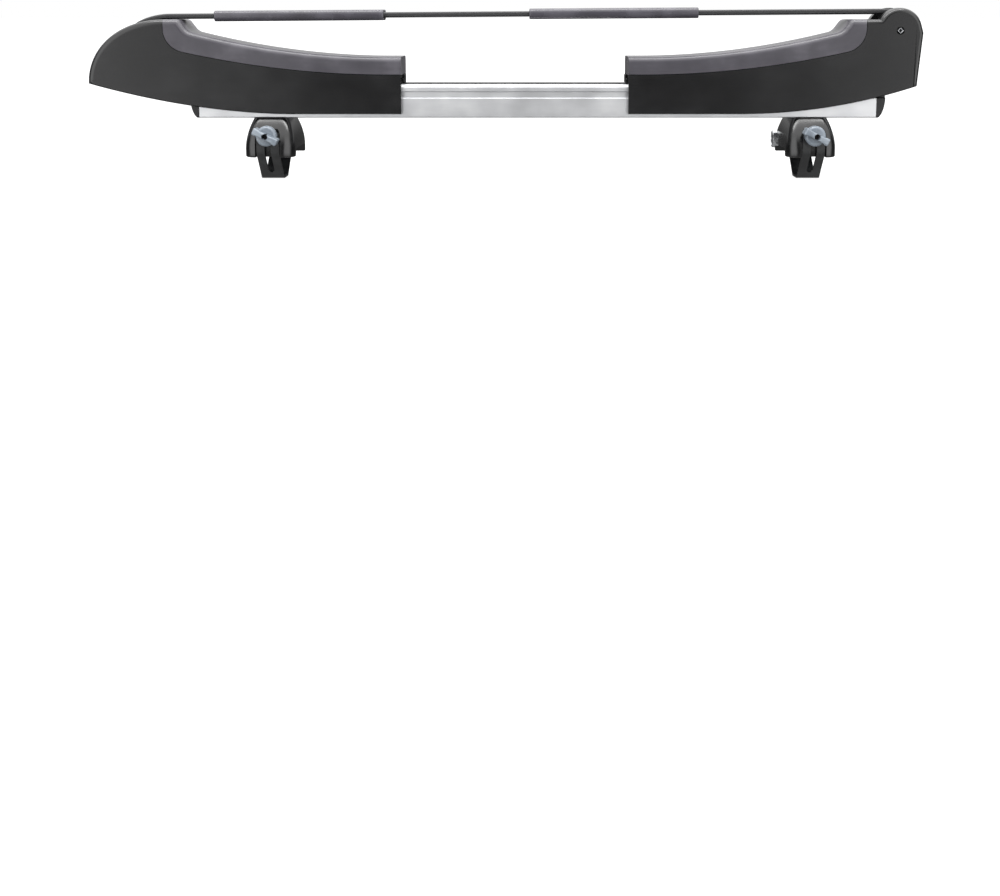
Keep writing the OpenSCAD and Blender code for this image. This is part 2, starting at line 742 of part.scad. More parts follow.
module strap_roller() {
    roller_l = arm_d - 2 * ear_t - 1.6;
    waist = 0.8;
    color(plastic) right_side() translate([ear_end, 0, ear_z]) rotate([90, 0, 0]) difference() {
        rotate_extrude($fn = 72) polygon([
            [bolt_r + fit_gap, -roller_l / 2], [roller_r - waist, -roller_l / 2],
            [roller_r, -roller_l / 2 + waist], [roller_r, roller_l / 2 - waist],
            [roller_r - waist, roller_l / 2], [bolt_r + fit_gap, roller_l / 2]
        ]);
        for (s = [-1, 1], k = [0:5]) rotate([0, 0, 60 * k]) translate([0.6 * roller_r, 0, s * roller_l / 2])
            cylinder(r = 3, h = 8, center = true);
    }
}
module roller_bolt() {
    socket = 2.6;
    bolt_l = arm_d - bolt_head_h - 1;
    color(steel) right_side() translate([ear_end, -arm_d / 2 + bolt_head_h, ear_z]) rotate([-90, 0, 0])
        difference() {
            union() {
                cylinder(r = bolt_r, h = bolt_l);
                translate([0, 0, 0.2 - bolt_head_h]) cylinder(r = bolt_head_r, h = bolt_head_h - 0.2);
            }
            translate([0, 0, -bolt_head_h]) rotate([0, 0, 45])
                cube([socket, socket, 4], center = true);
        }
}
module roller_nut() {
    color(steel) right_side() translate([ear_end, arm_d / 2 - nut_h + 0.4, ear_z]) rotate([-90, 0, 0])
        difference() {
            cylinder(r = nut_r, h = nut_h - 0.8, $fn = 6);
            translate([0, 0, -cut]) cylinder(r = bolt_r + fit_gap, h = nut_h + 2 * cut);
        }
}
// a toothed cam that pinches the strap, with a thumb tab below it
cam_r = 4.1;
cam_tooth = 0.7;
module cam_lever() {
    lever_d = strap_w - 1;
    tab_l = 14;
    outline = concat(
        arc([0, 0], cam_r, -65, 160, 2 * arc_steps),
        [for (k = [0:9]) let (a = 163 + 7 * k) (cam_r + cam_tooth * (1 - k % 2)) * [cos(a), sin(a)]],
        [[-1.8, -cam_r], [-2.6, -tab_l], [0.6, -tab_l], [1.2, -cam_r]]
    );
    color(steel) right_side() translate([cam_u, 0, cam_z]) difference() {
        along_y(lever_d) polygon(outline);
        rod_y(cam_pin_r + fit_gap, lever_d + 2 * cut);
    }
}
module cam_pin() {
    color(steel) right_side() translate([cam_u, 0, cam_z]) rod_y(cam_pin_r, cam_pin_l - 0.4);
}

// Strap and sleeves

module strap() {
    color(webbing) on_rail() along_y(strap_w) polygon(ribbon(strap_way, strap_t));
}
left_sleeve_x = run_left[0] + 43;
right_sleeve_x = roller_x - 403.9;
module sleeve(start, l) {
    along = start - run_left[0];
    color(rubber_grey) on_rail()
        translate([start, 0, run_left[1] + along * tan(run_rise)]) rotate([0, -run_rise, 0])
            along_x(l) difference() {
                soft_rect(sleeve_w, sleeve_t, 4);
                soft_rect(strap_w + 2 * slide_gap, strap_t + 2 * slide_gap, 1);
            }
}
module left_sleeve() {
    sleeve(left_sleeve_x, left_sleeve_l);
}
module right_sleeve() {
    sleeve(right_sleeve_x, right_sleeve_l);
}

// Feet. A foot is drawn about its middle, with height 0 at the rail's underside and its outer side
// towards +x. The left foot is its mirror image, but both locks face the same way.

left_foot_x = foot_shift - foot_span / 2;
right_foot_x = foot_shift + foot_span / 2;
lip_low = -foot_h - lip_h;
recess_w = band_w + 2;
recess_deep = 8;
saddle_edge = 14;
foot_bolt_x = 14;
foot_bolt_r = 3;

// one side's flare: narrow under the rail, bulging to the full size below
function flare(narrow, wide, h) = concat(
    [for (i = [0:arc_steps]) let (a = 90 * i / arc_steps)
        [narrow + (wide - narrow) * sin(a), -h * (1 - cos(a))]],
    [[wide, lip_low]]
);
module flared(narrow, wide, h) {
    polygon(concat(flare(narrow, wide, h), [for (p = reversed(flare(narrow, wide, h))) [-p[0], p[1]]]));
}
module foot_body() {
    lip_y = foot_d / 2 - 9;
    seat_half = foot_d / 2 - saddle_edge - 2;
    difference() {
        intersection() {
            along_y(foot_d + 2 * cut) flared(foot_top_w / 2, foot_w / 2, foot_h);
            translate([-foot_w, 0, 0]) along_x(2 * foot_w) flared(foot_top_d / 2, foot_d / 2, 24);
            translate([0, 0, lip_low - cut]) linear_extrude(-lip_low + cut) soft_rect(foot_w, foot_d, 9);
        }
        // saddle over the load bar
        translate([-foot_w, 0, 0]) along_x(2 * foot_w) polygon([
            [-lip_y, lip_low - cut], [-lip_y, lip_low], [-seat_half - 2, -foot_h], [-seat_half, seat_t - foot_h],
            [seat_half, seat_t - foot_h], [seat_half + 2, -foot_h], [lip_y, lip_low], [lip_y, lip_low - cut]
        ]);
        // front recess for the band's fork and the knob, with a round top
        translate([band_out, -foot_d / 2 - cut, 0]) {
            translate([-recess_w / 2, 0, lip_low - cut])
                cube([recess_w, recess_deep + cut, -lip_low + cut - bolt_drop]);
            translate([-recess_w / 2, 0, lip_low - cut]) cube([recess_w, saddle_edge + cut, lip_h + cut]);
            translate([0, (recess_deep + cut) / 2, -bolt_drop]) rod_y(recess_w / 2, recess_deep + cut);
        }
        // rear recess for the band's hinge
        translate([band_out - recess_w / 2, hinge_y - 9, lip_low - cut])
            cube([recess_w, foot_d, -lip_low + cut - hinge_drop + 12]);
        translate([band_out, -foot_d / 2 + 20, -bolt_drop]) rod_y(foot_bolt_r + fit_gap, 42);
        for (s = [-1, 1]) translate([s * foot_bolt_x, 0, 0]) {
            translate([0, 0, lip_low]) cylinder(r = foot_bolt_r + 0.3, h = -lip_low + cut);
            translate([0, 0, lip_low]) cylinder(r = 6.2, h = -lip_low - foot_h + seat_t + 8);
        }
    }
}
// bores for the hinge pin and the lock. turn is 1 where the lock is on the +x side of the drawn foot.
module hinge_bores(turn) {
    translate([0, hinge_y, -hinge_drop]) scale([1, 1, 1]) {
        translate([-foot_w / 2 + 5, 0, 0]) rod_x(pin_r + fit_gap, foot_w - 10);
        mirror([turn, 0, 0]) translate([-foot_w / 2 - cut, 0, 0])
            rod_x(foot_core_r + fit_gap, foot_w / 2 + cut - recess_w / 2 - abs(band_out) + 0.4);
    }
}
pin_r = 3;
foot_core_r = 6;

module place_left_foot() {
    translate([left_foot_x, 0, rail_z]) mirror([1, 0, 0]) children();
}
module place_right_foot() {
    translate([right_foot_x, 0, rail_z]) children();
}
module left_foot() {
    color(plastic) place_left_foot() difference() {
        foot_body();
        hinge_bores(1);
    }
}
module right_foot() {
    color(plastic) place_right_foot() difference() {
        foot_body();
        hinge_bores(0);
    }
}

module seat_pad() {
    seat_l = foot_d - 34;
    color(seat_black) difference() {
        translate([-foot_w / 2 + 4, -seat_l / 2, -foot_h]) cube([foot_w - 8, seat_l, seat_t]);
        for (k = [-2:2]) translate([0, k * seat_l / 6, -foot_h]) cube([foot_w, 2, 1.4], center = true);
    }
}
module left_seat_pad() {
    place_left_foot() seat_pad();
}
module right_seat_pad() {
    place_right_foot() seat_pad();
}

// two screws that hold a foot to plates in the rail's bolt slot
module foot_bolts() {
    head_h = 4;
    head_z = seat_t - foot_h + 4;
    plate_l = 14;
    color(steel) for (s = [-1, 1]) translate([s * foot_bolt_x, 0, 0]) {
        translate([0, 0, head_z]) cylinder(r = foot_bolt_r, h = -head_z + rail_wall + 5);
        difference() {
            translate([0, 0, head_z]) cylinder(r = 5, h = head_h);
            translate([0, 0, head_z - cut]) cylinder(r = 2.6, h = 3.4, $fn = 6);
        }
        translate([-plate_l / 2, -slot_in_w / 2 + 0.4, rail_wall]) cube([plate_l, slot_in_w - 0.8, 4.6]);
    }
}
module left_foot_bolts() {
    place_left_foot() foot_bolts();
}
module right_foot_bolts() {
    place_right_foot() foot_bolts();
}

// The clamp band: a fork that swings on the hinge pin's arc, two slopes, a flat and a hinge eye
band_low = -foot_h - band_drop + band_t / 2;
fork_r = hinge_y + foot_d / 2 - 4;
band_flat = 12;
band_rise_y = hinge_y + 1;
fork_top = 14.5;
fork_low = 9;
hinge_at = [hinge_y, -hinge_drop];
band_way = concat(
    arc(hinge_at, fork_r, 180 - asin(fork_top / fork_r), 180 + asin(fork_low / fork_r)),
    arc([-band_flat, band_low + 4], 4, 220, 270, 3),
    arc([band_flat, band_low + 4], 4, 270, 320, 3),
    [[band_rise_y, -hinge_drop - 17], [hinge_y, -hinge_drop - 4]]
);
eye_r = 5.4;
module clamp_band() {
    slot_low = band_low + 6;
    color(band_grey) translate([band_out, 0, 0]) difference() {
        union() {
            translate([-band_w / 2, 0, 0]) along_x(band_w) polygon(ribbon(band_way, band_t));
            translate([-band_w / 2, hinge_y, -hinge_drop]) rod_x(eye_r, band_w);
        }
        translate([-fork_w / 2, -foot_d, slot_low]) cube([fork_w, foot_d - band_flat - 3, -slot_low]);
        translate([-band_w / 2 - cut, hinge_y, -hinge_drop]) rod_x(pin_r + fit_gap, band_w + 2 * cut);
    }
}
module left_clamp_band() {
    place_left_foot() clamp_band();
}
module right_clamp_band() {
    place_right_foot() clamp_band();
}
module hinge_pin() {
    pin_l = foot_w - 10.4;
    color(steel) translate([-pin_l / 2, hinge_y, -hinge_drop]) rod_x(pin_r, pin_l);
}
module left_hinge_pin() {
    place_left_foot() hinge_pin();
}
module right_hinge_pin() {
    place_right_foot() hinge_pin();
}

// Clamp bolt and wing knob

knob_gap = 0.4;
knob_back = hinge_y - fork_r - band_t / 2 - knob_gap;
hub_l = 11;
wing_h = 9.5;
module clamp_bolt() {
    bolt_back = 12;
    bolt_l = 48;
    color(steel) translate([band_out, -bolt_back, -bolt_drop]) rotate([90, 0, 0])
        cylinder(r = foot_bolt_r, h = bolt_l);
}
module left_clamp_bolt() {
    place_left_foot() clamp_bolt();
}
module right_clamp_bolt() {
    place_right_foot() clamp_bolt();
}
// wings lie on the hub as a tapered bar, turned by the same angle on both feet
module wing_knob(turn) {
    wing_w = 8.4;
    color(knob_grey) translate([band_out, knob_back, -bolt_drop]) rotate([90, 0, 0]) difference() {
        union() {
            rotate_extrude($fn = 72) polygon(concat(
                [[0, 0], [knob_r - 1, 0]],
                arc([knob_r - 4, hub_l - 4], 4, 0, 90),
                [[0, hub_l]]
            ));
            rotate([0, 0, turn]) intersection() {
                translate([0, 0, hub_l - 6]) linear_extrude(wing_h + 6) soft_rect(wing_l, wing_w, 3);
                rotate([90, 0, 0]) linear_extrude(2 * wing_w, center = true) polygon([
                    [-wing_l / 2, 3], [wing_l / 2, 3], [wing_l / 2, hub_l + wing_h - 3],
                    [wing_l / 2 - 3, hub_l + wing_h], [-wing_l / 2 + 3, hub_l + wing_h],
                    [-wing_l / 2, hub_l + wing_h - 3]
                ]);
            }
        }
        translate([0, 0, -cut]) cylinder(r = foot_bolt_r + fit_gap, h = hub_l + wing_h + 2 * cut);
        translate([0, 0, hub_l + 1]) cylinder(r = 3.3, h = wing_h);
    }
}
wing_turn = 27;
module left_wing_knob() {
    place_left_foot() wing_knob(wing_turn);
}
module right_wing_knob() {
    place_right_foot() wing_knob(-wing_turn);
}

// Foot locks on the feet's left sides
module foot_lock() {
    core_l = foot_w / 2 - recess_w / 2 - abs(band_out) - 0.2;
    difference() {
        translate([-foot_w / 2 - 4, hinge_y, -hinge_drop]) lock_core(foot_lock_r, foot_core_r, core_l + 4);
        translate([-foot_w / 2 + 5, hinge_y, -hinge_drop]) rod_x(pin_r + fit_gap, foot_w);
    }
}
module left_foot_lock() {
    color(alloy) translate([left_foot_x, 0, rail_z]) foot_lock();
}
module right_foot_lock() {
    color(alloy) translate([right_foot_x, 0, rail_z]) foot_lock();
}

rail();
left_rail_cap();
right_rail_cap();
latch_rack();
left_arm_housing();
left_pad();
left_release_lever();
left_release_pin();
left_release_spring();
right_arm_housing();
right_pad();
right_release_lever();
right_release_pin();
right_release_spring();
nose_lock_bezel();
nose_lock_cylinder();
strap_tongue();
strap_roller();
roller_bolt();
roller_nut();
cam_lever();
cam_pin();
strap();
left_sleeve();
right_sleeve();
left_foot();
left_seat_pad();
left_foot_bolts();
left_clamp_band();
left_hinge_pin();
left_clamp_bolt();
left_wing_knob();
left_foot_lock();
right_foot();
right_seat_pad();
right_foot_bolts();
right_clamp_band();
right_hinge_pin();
right_clamp_bolt();
right_wing_knob();
right_foot_lock();
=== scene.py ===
import math

import bmesh
import bpy
import numpy as np
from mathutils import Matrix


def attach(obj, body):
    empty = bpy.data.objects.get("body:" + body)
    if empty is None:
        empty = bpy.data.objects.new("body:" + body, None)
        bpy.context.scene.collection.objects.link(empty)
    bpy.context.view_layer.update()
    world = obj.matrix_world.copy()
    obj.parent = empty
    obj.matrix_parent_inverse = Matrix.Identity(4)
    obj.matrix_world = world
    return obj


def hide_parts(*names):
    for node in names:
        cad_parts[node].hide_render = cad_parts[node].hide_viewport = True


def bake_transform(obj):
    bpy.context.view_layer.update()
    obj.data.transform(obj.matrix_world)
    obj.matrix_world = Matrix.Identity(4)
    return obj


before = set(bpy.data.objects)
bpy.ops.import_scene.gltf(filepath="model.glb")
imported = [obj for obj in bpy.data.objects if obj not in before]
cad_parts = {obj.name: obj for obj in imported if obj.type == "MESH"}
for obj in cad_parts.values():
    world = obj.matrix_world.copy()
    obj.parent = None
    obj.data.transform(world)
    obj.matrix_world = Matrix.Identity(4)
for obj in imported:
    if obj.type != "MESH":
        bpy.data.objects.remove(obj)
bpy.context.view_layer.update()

mm = 0.001
railZ = 36        # rail's underside above the load bar. All shapes are worked out in mm.
scene = bpy.context.scene


def addObject(name, data):
    made = bpy.data.objects.new(name, data)
    scene.collection.objects.link(made)
    return made


# ---- camera: level with the strap, a little left of the middle, 1.75 m in front

camera = {"place": (-8.5, -1750, 154.7), "pitch": -8.742, "lens": 55.883, "shift": (-0.03, -0.2)}
lensData = bpy.data.cameras.new("camera")
lensData.sensor_width = 36
lensData.lens = camera["lens"]
lensData.shift_x, lensData.shift_y = camera["shift"]
lensData.clip_start = 0.01
cameraObject = addObject("camera", lensData)
cameraObject.location = [v * mm for v in camera["place"]]
cameraObject.rotation_euler = (math.radians(90 + camera["pitch"]), 0, 0)
scene.camera = cameraObject
print("camera set")


# ---- colours and shader nodes

def toLinear(hexColour):
    # an sRGB channel c becomes c / 12.92 up to 0.04045, else ((c + 0.055) / 1.055) to the power 2.4
    c = np.array([int(hexColour[i:i + 2], 16) for i in (1, 3, 5)]) / 255
    return (*np.where(c > 0.04045, ((c + 0.055) / 1.055) ** 2.4, c / 12.92).tolist(), 1)


def addNode(tree, kind, settings=None, links=None):
    # settings go to the input of that name or number, or to the node's attribute, "stops" to its ramp. A link
    # given as a node means its first enabled output.
    node = tree.nodes.new("ShaderNode" + kind)
    for key, value in (settings or {}).items():
        if key == "stops":
            while len(node.color_ramp.elements) < len(value):
                node.color_ramp.elements.new(1)
            for stop, (position, colour) in zip(node.color_ramp.elements, value):
                stop.position, stop.color = position, toLinear(colour)
        elif isinstance(key, int) or key in node.inputs:
            node.inputs[key].default_value = value
        else:
            setattr(node, key, value)
    for key, source in (links or {}).items():
        if isinstance(source, bpy.types.Node):
            source = next(socket for socket in source.outputs if socket.enabled)
        tree.links.new(source, node.inputs[key])
    return node


def newMaterial(name, surface):
    # surface: the shader's fixed values. Returns the material, its tree, its shader and Object coordinates.
    material = bpy.data.materials.new(name)
    material.use_nodes = True
    tree = material.node_tree
    tree.nodes.clear()
    shader = addNode(tree, "BsdfPrincipled", surface)
    addNode(tree, "OutputMaterial", links={"Surface": shader})
    place = addNode(tree, "TexCoord").outputs["Object"]
    return material, tree, shader, place


def shade(made, tone, positions, colours, shine, roughness, height, depth):
    # colours at their positions over the tone, roughness over the shine, a bump of that depth in mm
    material, tree, shader, place = made
    colour = addNode(tree, "ValToRGB", {"stops": list(zip(positions, colours.split()))}, {"Fac": tone})
    spread = {"From Min": 0.3, "From Max": 0.7, "To Min": roughness[0], "To Max": roughness[1]}
    gloss = addNode(tree, "MapRange", spread, {"Value": shine})
    bump = addNode(tree, "Bump", {"Strength": 1.0, "Distance": depth * mm}, {"Height": height})
    tree.links.new(colour.outputs["Color"], shader.inputs["Base Color"])
    tree.links.new(gloss.outputs["Result"], shader.inputs["Roughness"])
    tree.links.new(bump.outputs["Normal"], shader.inputs["Normal"])
    return material


def grained(name, surface, colours, roughness, grain, depth, cloud, rub, along=1):
    # a fine grain in the height, broad clouds in gloss and colour, and thin pale rubs, each its width in mm.
    # Where a piece was drawn along X, along stretches its grain.
    made = newMaterial(name, surface)
    tree, place = made[1], made[3]
    run = addNode(tree, "Mapping", {"Scale": (1 / along, 1, 1)}, {"Vector": place})
    grains = addNode(tree, "TexNoise", {"Scale": 1000 / grain, "Detail": 2.0}, {"Vector": run})
    clouds = addNode(tree, "TexNoise", {"Scale": 1000 / cloud, "Detail": 3.0}, {"Vector": place})
    rubbed = addNode(tree, "Mapping", {"Scale": (0.2, 1, 1)}, {"Vector": place})
    rubs = addNode(tree, "TexNoise", {"Scale": 1000 / rub, "Detail": 6.0}, {"Vector": rubbed})
    tone = addNode(tree, "Math", {"operation": "MULTIPLY_ADD", 1: 0.4}, {0: rubs, 2: clouds})
    return shade(made, tone, (0.5, 0.7, 0.86), colours, clouds, roughness, grains, depth)


moulded = {"IOR": 1.5, "Specular IOR Level": 0.5}
nylon = {**moulded, "IOR": 1.53}
metal = {"Metallic": 1.0}

# from a spark eroded tool: satin, its fine grain drawn three times too coarse so that it shows, with slow
# changes of gloss where the melt cooled
housingPlastic = grained(
    "grained ABS, injection moulded", moulded, "#0b0b0c #0f0f10 #161617", (0.21, 0.27), grain=1.4,
    depth=0.012, cloud=55, rub=7)
# glass-filled nylon from a polished tool: glossier and blacker, with faint flow marks
footPlastic = grained(
    "glass-filled nylon, injection moulded", nylon, "#09090a #0d0d0e #151516", (0.18, 0.24), grain=1.2,
    depth=0.01, cloud=22, rub=5)
# soft-touch rubber over the arm: matt, bluish grey, picks up a pale bloom at its edges
padRubber = grained(
    "thermoplastic rubber, moulded", {**moulded, "Sheen Weight": 0.04}, "#39373d #3f3d43 #4a484e",
    (0.3, 0.37), grain=1.3, depth=0.02, cloud=35, rub=8)
# an extruded tube of the same rubber: its skin is drawn out along its length
sleeveRubber = grained(
    "thermoplastic rubber, extruded", {**moulded, "Sheen Weight": 0.04}, "#37353b #3d3b42 #47454c",
    (0.24, 0.3), grain=1.1, depth=0.02, cloud=25, rub=6, along=8)
# dense weather seal rubber: nearly black and dusty
seatRubber = grained(
    "EPDM rubber, moulded", {**moulded, "Specular IOR Level": 0.35}, "#141415 #1b1b1c #262627", (0.6, 0.7),
    grain=0.9, depth=0.04, cloud=15, rub=4)
# unfilled nylon: pale blue grey, waxy gloss that fingers polish
knobNylon = grained(
    "grey nylon, injection moulded", nylon, "#666e77 #717982 #7f878f", (0.22, 0.3), grain=1.0, depth=0.008,
    cloud=10, rub=3)
# etched and anodised extrusion: silky, with faint die lines along its length that drag highlights out
railAluminium = grained(
    "satin anodised aluminium, extruded", metal, "#c8c9cb #d1d2d4 #dadbdc", (0.35, 0.41), grain=0.9,
    depth=0.004, cloud=45, rub=9, along=400)
# bright zinc on turned steel: a soft mottle in the gloss and fine pits
platedSteel = grained(
    "zinc plated steel, turned", metal, "#9fa1a4 #b0b2b4 #c2c4c6", (0.24, 0.36), grain=0.7, depth=0.01,
    cloud=3, rub=1.5)
# black oxide on turned steel: oily, nearly black; on the roller's bolt this black is painted shade
blackSteelAndPaintedShade = grained(
    "black oxide steel, turned, with painted shade", metal, "#161617 #202022 #2c2c2e", (0.38, 0.5), grain=0.7, depth=0.008,
    cloud=3, rub=1.5)
# nickel on die cast zinc: smoother, warmer
lockZinc = grained(
    "nickel plated zinc, die cast", metal, "#b4b6b8 #c2c4c6 #d0d2d4", (0.2, 0.3), grain=0.9, depth=0.006,
    cloud=4, rub=2)
# black acetal: the roller, waxy and a little paler than the housing
rollerNylon = grained(
    "black acetal, turned", {**moulded, "IOR": 1.48}, "#2c2c2e #343436 #3e3e40", (0.25, 0.33), grain=0.9,
    depth=0.006, cloud=12, rub=3)
# tempered strip: straw to grey oxide
springSteel = grained(
    "spring steel, tempered", metal, "#6d6e70 #818284 #939496", (0.3, 0.42), grain=0.7, depth=0.005, cloud=2,
    rub=1)
# polyester powder on bent steel: a satin film with a shallow orange peel
bandCoat = grained(
    "dark powder coat on steel, sprayed", moulded, "#161718 #1d1e1f #28292a", (0.3, 0.38), grain=1.5,
    depth=0.02, cloud=18, rub=4)


def woven(name, surface, colours, roughness, pitch, depth, fibre):
    # warp ribs and picks of that pitch in mm, raised where they cross over, blurred by loose fibre. They are
    # drawn about twice too coarse so that the weave shows.
    made = newMaterial(name, surface)
    tree, place = made[1], made[3]
    uv = addNode(tree, "UVMap", {"uv_map": "weave"})
    parts = addNode(tree, "SeparateXYZ", links={0: uv})
    scale = {"operation": "MULTIPLY", 1: math.pi * 1000 / pitch}
    turns = [addNode(tree, "Math", scale, {0: parts.outputs[axis]}) for axis in (0, 1)]
    waves = [addNode(tree, "Math", {"operation": "SINE"}, {0: turn}) for turn in turns]
    cross = addNode(tree, "Math", {"operation": "MULTIPLY"}, {0: waves[0], 1: waves[1]})
    height = addNode(tree, "Math", {"operation": "ABSOLUTE"}, {0: cross})
    fibres = addNode(tree, "TexNoise", {"Scale": 1000 / fibre, "Detail": 3.0}, {"Vector": place})
    tone = addNode(tree, "Math", {"operation": "MULTIPLY_ADD", 1: 0.2}, {0: cross, 2: fibres})
    return shade(made, tone, (0.3, 0.7), colours, fibres, roughness, height, depth)


webbing = woven(
    "polyester webbing, woven", {**moulded, "Sheen Weight": 0.03}, "#0b0b0d #1a1b1e", (0.4, 0.52), pitch=1.6,
    depth=0.14, fibre=1.0)
print("materials made")


# ---- meshes: a shell is a pair of points in mm and faces

def gridFaces(rows, columns, closeRows=False, closeColumns=False):
    # quads between neighbouring rows and columns; a closed direction joins its last line to its first
    i, j = np.meshgrid(np.arange(rows - (not closeRows)), np.arange(columns - (not closeColumns)),
                       indexing="ij")
    below, beside = (i + 1) % rows, (j + 1) % columns
    corners = (i * columns + j, i * columns + beside, below * columns + beside, below * columns + j)
    return np.stack(corners, -1).reshape(-1, 4)


def capped(grid, caps=True, closeRows=False):
    # rows of closed outlines, with one face over the first row and one over the last
    grid = np.asarray(grid)
    rows, columns = grid.shape[:2]
    faces = gridFaces(rows, columns, closeRows, True).tolist()
    if caps:
        last = (rows - 1) * columns
        faces += [list(range(columns))[::-1], list(range(last, last + columns))]
    return grid.reshape(-1, 3), faces



def joined(*columns):
    # the columns side by side, a single number repeated all the way down
    return np.stack(np.broadcast_arrays(*columns), -1)


def arc(centre, radius, start, end, steps):
    # points at equal angles about the centre: centre + radius * (cos, sin)
    angle = np.radians(np.linspace(start, end, steps + 1))
    return np.asarray(centre, float) + radius * joined(np.cos(angle), np.sin(angle))


def quarter(radius, steps):
    # a rounded edge in equal angles: how far each step lies in from the side, and in from the end
    angle = np.radians(np.linspace(0, 90, steps + 1))
    return radius * (1 - np.sin(angle)), radius * (1 - np.cos(angle))


def unit(vectors):
    return vectors / np.linalg.norm(vectors, axis=-1, keepdims=True)


def filleted(points, radii, steps=6):
    # every corner becomes an arc that touches both its edges, its centre on the corner's bisector
    points = np.asarray(points, float)
    radii = np.maximum(np.broadcast_to(radii, len(points)), 1e-4)[:, None]
    toBefore = unit(np.roll(points, 1, axis=0) - points)
    toAfter = unit(np.roll(points, -1, axis=0) - points)
    half = np.arccos(np.clip((toBefore * toAfter).sum(1, keepdims=True), -1, 1)) / 2
    centre = points + unit(toBefore + toAfter) * radii / np.sin(half)
    first = points + toBefore * radii / np.tan(half) - centre
    last = points + toAfter * radii / np.tan(half) - centre
    start = np.arctan2(first[:, 1], first[:, 0])
    turn = (np.arctan2(last[:, 1], last[:, 0]) - start + 3 * np.pi) % (2 * np.pi) - np.pi
    angle = start[:, None] + turn[:, None] * np.linspace(0, 1, steps + 1)
    rings = np.stack((np.cos(angle), np.sin(angle)), -1)
    return (centre[:, None] + radii[:, None] * rings).reshape(-1, 2)


def softRect(width, height, radius, steps=6):
    w, h = width / 2, height / 2
    return filleted([(-w, -h), (w, -h), (w, h), (-w, h)], radius, steps)


def lengthwise(y, z, x):
    # an outline of the YZ plane carried along X
    return joined(x, y, z)


def crosswise(x, z, y):
    # an outline of the XZ plane carried along Y
    return joined(x, y, z)


def prism(outline, low, high, place):
    # the outline at both ends, joined by quads
    outline = np.asarray(outline, float)
    return capped([place(*outline.T, t) for t in (low, high)])


def rod(place, centre, radius, low, high, steps=48):
    return prism(arc(centre, radius, 0, 360 - 360 / steps, steps - 1), low, high, place)


def plate(place, start, end, bottom, top, low, high):
    # a straight box: start to end by bottom to top in the outline's plane, low to high across it
    return prism([(start, bottom), (end, bottom), (end, top), (start, top)], low, high, place)


def lathe(profile, place, centre, steps=72):
    # the profile's points (radius, distance along the axis) turned about an axis through the centre
    profile = np.asarray(profile, float)
    angle = np.linspace(0, 2 * np.pi, steps, endpoint=False)
    u = centre[0] + profile[:, :1] * np.cos(angle)
    v = centre[1] + profile[:, :1] * np.sin(angle)
    return capped(place(u, v, profile[:, 1:]), caps=False)


def newObject(name, shells):
    faces, start = [], 0
    for points, quads in shells:
        faces += [[start + k for k in quad] for quad in quads]
        start += len(points)
    mesh = bpy.data.meshes.new(name)
    mesh.from_pydata((np.vstack([shell[0] for shell in shells]) * mm).tolist(), [], faces)
    tidyMesh(mesh)
    return addObject(name, mesh)


def tidyMesh(mesh):
    # doubles merged, empty faces dissolved, normals turned outwards
    work = bmesh.new()
    work.from_mesh(mesh)
    bmesh.ops.remove_doubles(work, verts=work.verts, dist=3e-6)
    bmesh.ops.dissolve_degenerate(work, edges=work.edges, dist=2e-6)
    bmesh.ops.recalc_face_normals(work, faces=work.faces)
    work.to_mesh(mesh)
    work.free()


def cuts(*tools):
    # boolean steps: one difference for each shell, or for each list of shells that don't meet
    return [("DIFFERENCE", tool if isinstance(tool, list) else [tool]) for tool in tools]


def carve(piece, steps):
    # exact booleans, one after the other, whose result becomes the piece's mesh
    tools = []
    for operation, shells in steps:
        tools.append(newObject("tool", shells))
        change = piece.modifiers.new("carve", "BOOLEAN")
        change.operation, change.solver, change.object = operation, "EXACT", tools[-1]
    before = piece.data
    piece.data = bpy.data.meshes.new_from_object(piece.evaluated_get(bpy.context.evaluated_depsgraph_get()))
    piece.modifiers.clear()
    bpy.data.meshes.remove(before)
    for tool in tools:
        bpy.data.meshes.remove(tool.data)
    tidyMesh(piece.data)
    piece.data.name = piece.name


def finish(mesh, material, sharp):
    mesh.materials.clear()
    mesh.materials.append(material)
    mesh.polygons.foreach_set("use_smooth", np.ones(len(mesh.polygons), bool))
    mesh.set_sharp_from_angle(angle=math.radians(sharp))


def makePiece(name, shell, steps, material, body, node, sharp=30):
    # a finished object: shell, boolean steps, material, body, the node it replaces
    piece = newObject(name, [shell])
    if steps:
        carve(piece, steps)
    finish(piece.data, material, sharp)
    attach(piece, body)
    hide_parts(node)


# ---- rail: an aluminium extrusion, its two end caps

rail = {"length": 748, "height": 36.5, "depth": 62, "wall": 2.4, "grooveZ": 21.6, "grooveHeight": 7.6,
        "grooveDepth": 2.8, "grooveDraft": 0.8, "slotMouth": 8.4, "slotWidth": 16, "slotHeight": 6.4,
        "shoulder": 4, "upperStep": 0.5, "rackWidth": 20, "rackDeep": 2.4, "capLength": 10, "capShare": 0.67,
        "capLean": 78}


